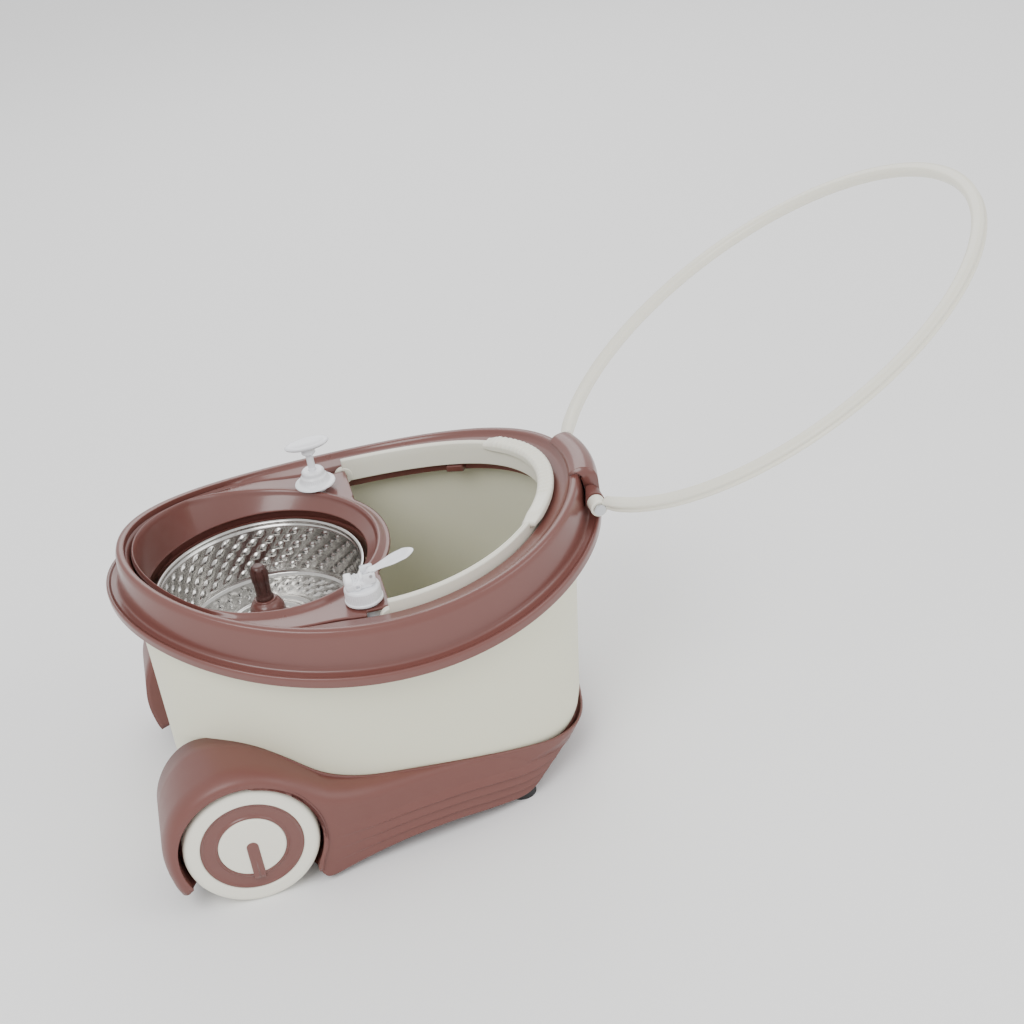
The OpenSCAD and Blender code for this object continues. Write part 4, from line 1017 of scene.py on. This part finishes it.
def cap_body_parts():
    """Block on the flip cap's collar: a step at the front, two raised ridges and two hinge cheeks."""
    at = (CAP_X, CAP_Y, CAP_Z)
    parts = [
        soft_block(-14.5, 9.5, -8.8, 8.8, 16.8, 24.0, 1.6, at),
        soft_block(-14.0, -7.0, -8.6, 8.6, 20.0, 26.8, 1.4, at),
        soft_block(-5.4, -3.0, -5.6, 5.6, 22.0, 26.6, 0.7, at),
        soft_block(-1.0, 3.0, -5.6, 5.6, 22.0, 26.4, 0.9, at),
        soft_block(1.5, 13.0, -9.0, -6.2, 20.0, 31.0, 1.2, at),
        soft_block(1.5, 13.0, 6.2, 9.0, 20.0, 31.0, 1.2, at),
    ]
    a = rounded([(1.6, 0), (3.4, 0), (3.4, 2.6), (2.9, 3.2), (1.6, 3.2)], 0.4, 3)
    v, q, t = turned(a, 48)
    boss = np.stack([CAP_X - 4.0 + v[:, 0], CAP_Y - 8.0 - v[:, 2], CAP_Z + 21.0 + v[:, 1]], -1)
    return parts + [outward(boss, q, t)]


def cap_lever_parts():
    """Flip lever: a round root on its pin, a waisted neck and a spoon-shaped thumb paddle, dished on top,
    rising at fifteen degrees."""
    n = 96
    u = np.linspace(-3.1, 42.9, n)
    root, paddle = np.clip((u + 3.1) / 4.0, 0, 1) ** 0.5, np.clip((42.95 - u) / 9.0, 0, 1) ** 0.5
    half = (4.4 + 4.5 * smooth01((u - 5) / 20.0)) * np.minimum(root, 1) * paddle
    thick = (3.1 - 1.7 * smooth01((u + 1) / 9.0)) * np.minimum(root, 1) * np.clip(paddle * 1.2, 0, 1)
    a = np.linspace(0, TAU, 40, endpoint=False)[None, :]
    y = half[:, None] * np.sign(np.cos(a)) * np.abs(np.cos(a)) ** 0.8
    dished = smooth01((u - 10) / 10) * smooth01((40 - u) / 8)
    dish = 0.9 * dished[:, None] * np.exp(-((y / 5.5) ** 2)) * (np.sin(a) > 0)
    arch = 0.6 * np.sin(np.clip(u / 43, 0, 1) * math.pi)[:, None]
    w = thick[:, None] * np.sign(np.sin(a)) * np.abs(np.sin(a)) ** 0.75 - dish + arch
    c, s = math.cos(math.radians(15)), math.sin(math.radians(15))
    uu = u[:, None] + 0 * a
    grid = np.stack([uu * c - w * s, y, uu * s + w * c], -1) + np.array([CAP_X + 9.0, CAP_Y, CAP_Z + 28.0])
    return [skin(grid, caps=True)]


# --- settings ---


class MopSizes(bpy.types.PropertyGroup):
    """Sizes of the details that the surfaces add to the frame."""

    louvres: bpy.props.IntProperty(
        name="Louvres", description="Louvres along each flank", default=4, min=2, max=7)
    louvre_depth: bpy.props.FloatProperty(
        name="Louvre depth", description="How far each louvre stands out, in millimetres",
        default=2.4, min=0.5, max=5)
    dimple_rows: bpy.props.IntProperty(
        name="Dimple rows", description="Rows of dimples in the basket", default=6, min=3, max=9)
    dimples: bpy.props.IntProperty(
        name="Dimples", description="Dimples in each row", default=34, min=16, max=60)
    dimple_depth: bpy.props.FloatProperty(
        name="Dimple depth", description="How far each dimple stands in, in millimetres", default=1.9, min=0.4, max=3)
    grip_ribs: bpy.props.IntProperty(
        name="Grip ribs", description="Ribs across the carry handle's grip", default=30, min=8, max=60)


def colour_property(label, text, default):
    """One colour of the sidebar, with its red, green and blue shares from 0 to 1."""
    return bpy.props.FloatVectorProperty(
        name=label, description=text, subtype="COLOR", size=3, min=0, max=1, default=default)


class MopColours(bpy.types.PropertyGroup):
    """Colours of the mouldings."""

    brown: colour_property("Brown", "Rim, housings, hub and wheel rings", (0.150, 0.053, 0.043))
    cream: colour_property("Cream", "Tub", (0.74, 0.73, 0.57))
    ivory: colour_property("Ivory", "Handles and wheels", (0.82, 0.80, 0.69))
    white: colour_property("White", "Soap dispensers", (0.86, 0.87, 0.90))


class PieceOperator:
    """Shared options of the operators below."""

    bl_options = {"REGISTER", "UNDO"}


class MOP_OT_rim(PieceOperator, bpy.types.Operator):
    """Build the rim, the tub, the well round the basket and the rear housing"""

    bl_idname = "mop.rim"
    bl_label = "Rim and tub"

    def execute(self, context):
        m = MATERIALS
        place("tub_shell", tub_parts(), "tub", m["cream_matte"], ["bucket"])
        place("rim_moulding", rim_parts(), "tub", m["brown_gloss"], ["rim_cover"])
        place("well_funnel", well_parts(), "tub", m["brown_gloss"], ["well_deck"])
        place("rear_crescent", housing_parts(), "tub", m["brown_gloss"], ["rear_housing"])
        return {"FINISHED"}


class MOP_OT_undercarriage(PieceOperator, bpy.types.Operator):
    """Build the wheel hoods, the louvred flanks and the tray under the tub"""

    bl_idname = "mop.undercarriage"
    bl_label = "Undercarriage"

    def execute(self, context):
        sizes, brown = context.scene.mop_sizes, MATERIALS["brown_satin"]
        flank = flank_part(sizes.louvres, sizes.louvre_depth)
        place("flanks", [flank, mirrored(flank)], "tub", brown, ["undercarriage"], thick=2.2)
        well = wheel_well()
        place("wheel_wells", [well, mirrored(well)], "tub", brown, [])
        place("tray", [tray_part()], "tub", brown, [], thick=2.2)
        return {"FINISHED"}


class MOP_OT_basket(PieceOperator, bpy.types.Operator):
    """Build the pressed steel basket, its hub and the drive pin"""

    bl_idname = "mop.basket"
    bl_label = "Basket"

    def execute(self, context):
        sizes, m = context.scene.mop_sizes, MATERIALS
        bowl, hole_shade_mask = basket_inside(sizes.dimple_rows, sizes.dimples, sizes.dimple_depth)
        pressing = place("basket_pressing", [bowl], "basket", m["bright_steel"], ["basket_bowl"])
        # The second material paints the drain-hole faces black: painted shade in place of openings.
        pressing.data.materials.append(m["black_nylon_and_hole_shade"])
        if len(hole_shade_mask) != len(pressing.data.polygons):
            raise RuntimeError("the basket's faces and its mask of holes differ in number")
        pressing.data.polygons.foreach_set("material_index", hole_shade_mask.astype(np.int32))
        place("basket_boss", hub_parts(), "basket", m["brown_gloss"], ["basket_hub"])
        place("fluted_pin", pin_parts(), "basket", m["brown_pin"], ["drive_pin"])
        return {"FINISHED"}


class MOP_OT_wheels(PieceOperator, bpy.types.Operator):
    """Build both wheels with their rings and caps"""

    bl_idname = "mop.wheels"
    bl_label = "Wheels"

    def execute(self, context):
        m = MATERIALS
        for side, word in ((1, "left"), (-1, "right")):
            body = "wheel_" + word
            ring, cap = "wheel_ring_" + word, "wheel_cap_" + word
            place("tread_" + word, wheel_parts(side), body, m["ivory_satin"], [body])
            place("dial_" + word, wheel_ring_parts(side), body, m["brown_gloss"], [ring])
            place("disc_" + word, wheel_cap_parts(side), body, m["ivory_gloss"], [cap])
        return {"FINISHED"}


class MOP_OT_handles(PieceOperator, bpy.types.Operator):
    """Build the folding pull hoop and the carry handle"""

    bl_idname = "mop.handles"
    bl_label = "Handles"

    def execute(self, context):
        ivory, band = MATERIALS["ivory_gloss"], handle_parts(context.scene.mop_sizes.grip_ribs)
        place("hoop_bar", hoop_parts(), "pull_hoop", ivory, ["pull_hoop"])
        place("carry_band", band, "carry_handle", ivory, ["carry_handle"])
        return {"FINISHED"}


class MOP_OT_dispensers(PieceOperator, bpy.types.Operator):
    """Build the soap pump and the flip-cap dispenser"""

    bl_idname = "mop.dispensers"
    bl_label = "Dispensers"

    def execute(self, context):
        white = MATERIALS["white_gloss"]
        place("pump_screw_collar", pump_collar_parts(), "tub", white, ["pump_collar"])
        place("pump_rod", pump_stem_parts(), "pump_stem", white, ["pump_stem"])
        place("pump_thumb_pad", pump_head_parts(), "pump_head", white, ["pump_head"])
        place("flip_cap_collar", cap_collar_parts(), "tub", white, ["cap_collar"])
        place("flip_cap_block", cap_body_parts(), "tub", white, ["cap_body"])
        place("flip_cap_lever", cap_lever_parts(), "cap_lever", white, ["cap_lever"])
        return {"FINISHED"}


CARRIED_OVER = {
    "brown_satin": ["hoop_lugs", "basket_holder", "handle_pins"],
    "black_rubber": ["rear_feet"],
    "black_nylon_and_hole_shade": ["upper_bush", "lower_bush", "wheel_bush_left", "wheel_bush_right"],
    "milky_bottle": ["pump_bottle", "cap_bottle", "dip_tube"],
    "zinc_plate": ["base_screws", "stub_axle_left", "stub_axle_right", "push_nut_left", "push_nut_right",
                   "holder_screws", "pump_spring", "cap_hinge_pin", "hoop_pins", "spindle", "spindle_washer",
                   "spindle_circlip", "hub_rivets"],
}


class MOP_OT_frame_finishes(PieceOperator, bpy.types.Operator):
    """Give every part of the frame that still shows its own finish"""

    bl_idname = "mop.frame_finishes"
    bl_label = "Frame finishes"

    def execute(self, context):
        for finish, names in CARRIED_OVER.items():
            for name in names:
                slots = NODES[name].material_slots
                if not slots:
                    NODES[name].data.materials.append(MATERIALS[finish])
                for s in slots:
                    s.material = MATERIALS[finish]
        return {"FINISHED"}


class MOP_OT_stage(PieceOperator, bpy.types.Operator):
    """Lay the pale floor, the soft lights and the camera"""

    bl_idname = "mop.stage"
    bl_label = "Stage"

    def execute(self, context):
        scene = context.scene
        floor_mesh = bpy.data.meshes.new("floor")
        r = FLOOR_REACH
        floor_mesh.from_pydata([(-r, -r, 0), (r, -r, 0), (r, r, 0), (-r, r, 0)], [], [(0, 1, 2, 3)])
        floor = bpy.data.objects.new("floor", floor_mesh)
        floor_mat = bpy.data.materials.new("pale_floor")
        floor_mat.use_nodes = True
        shader = floor_mat.node_tree.nodes["Principled BSDF"]
        shader.inputs["Base Color"].default_value = (0.92, 0.92, 0.92, 1)
        shader.inputs["Roughness"].default_value = 0.6
        floor_mesh.materials.append(floor_mat)
        scene.collection.objects.link(floor)
        world = bpy.data.worlds.new("studio")
        world.use_nodes = True
        world.node_tree.nodes["Background"].inputs["Color"].default_value = (1.0, 1.0, 1.0, 1)
        world.node_tree.nodes["Background"].inputs["Strength"].default_value = 1.15
        scene.world = world
        for name, place_at, size, power in (("key", (-1.3, -1.6, 2.4), 1.6, 44), ("fill", (1.8, -1.2, 1.6), 1.8, 18),
                                            ("back", (0.3, 2.2, 2.0), 1.8, 20)):
            light = bpy.data.lights.new(name, "AREA")
            light.energy, light.size, light.shape = power, size, "DISK"
            lamp = bpy.data.objects.new(name, light)
            lamp.location = place_at
            lamp.rotation_euler = (Vector((-0.05, 0, 0.15)) - Vector(place_at)).to_track_quat("-Z", "Y").to_euler()
            scene.collection.objects.link(lamp)
        cam_data = bpy.data.cameras.new("camera")
        cam_data.lens, cam_data.sensor_width = LENS, SENSOR
        cam_data.clip_start, cam_data.clip_end = 0.05, 60
        cam = bpy.data.objects.new("camera", cam_data)
        a, e, roll = (math.radians(v) for v in VIEW)
        back = Vector((math.sin(a) * math.cos(e), -math.cos(a) * math.cos(e), math.sin(e)))
        right = Vector((math.cos(a), math.sin(a), 0))
        up = back.cross(right)
        u = right * math.cos(roll) + up * math.sin(roll)
        v = up * math.cos(roll) - right * math.sin(roll)
        turn = Matrix((u, v, back)).transposed().to_4x4()
        cam.matrix_world = Matrix.Translation(Vector(TARGET) * MM + back * (DISTANCE * MM)) @ turn
        scene.collection.objects.link(cam)
        scene.camera = cam
        return {"FINISHED"}


CLASSES = (MopSizes, MopColours, MOP_OT_rim, MOP_OT_undercarriage, MOP_OT_basket, MOP_OT_wheels,
           MOP_OT_handles, MOP_OT_dispensers, MOP_OT_frame_finishes, MOP_OT_stage)
STEPS = ("rim", "undercarriage", "basket", "wheels", "handles", "dispensers", "frame_finishes", "stage")


class MOP_PT_panel(bpy.types.Panel):
    """The mop bucket's pieces, sizes and colours"""

    bl_idname = "MOP_PT_panel"
    bl_label = "Mop bucket"
    bl_space_type = "VIEW_3D"
    bl_region_type = "UI"
    bl_category = "Mop bucket"

    def draw(self, context):
        layout = self.layout
        for settings in (context.scene.mop_sizes, context.scene.mop_colours):
            for key in settings.__annotations__:
                layout.prop(settings, key)
        for step in STEPS:
            layout.operator("mop." + step)


def register():
    for cls in (*CLASSES, MOP_PT_panel):
        bpy.utils.register_class(cls)
    bpy.types.Scene.mop_sizes = bpy.props.PointerProperty(type=MopSizes)
    bpy.types.Scene.mop_colours = bpy.props.PointerProperty(type=MopColours)


def unregister():
    del bpy.types.Scene.mop_colours
    del bpy.types.Scene.mop_sizes
    for cls in reversed((*CLASSES, MOP_PT_panel)):
        bpy.utils.unregister_class(cls)


def main():
    register()
    make_materials(bpy.context.scene.mop_colours)
    for step in STEPS:
        getattr(bpy.ops.mop, step)()
    bpy.context.view_layer.update()


if __name__ == "__main__":
    main()
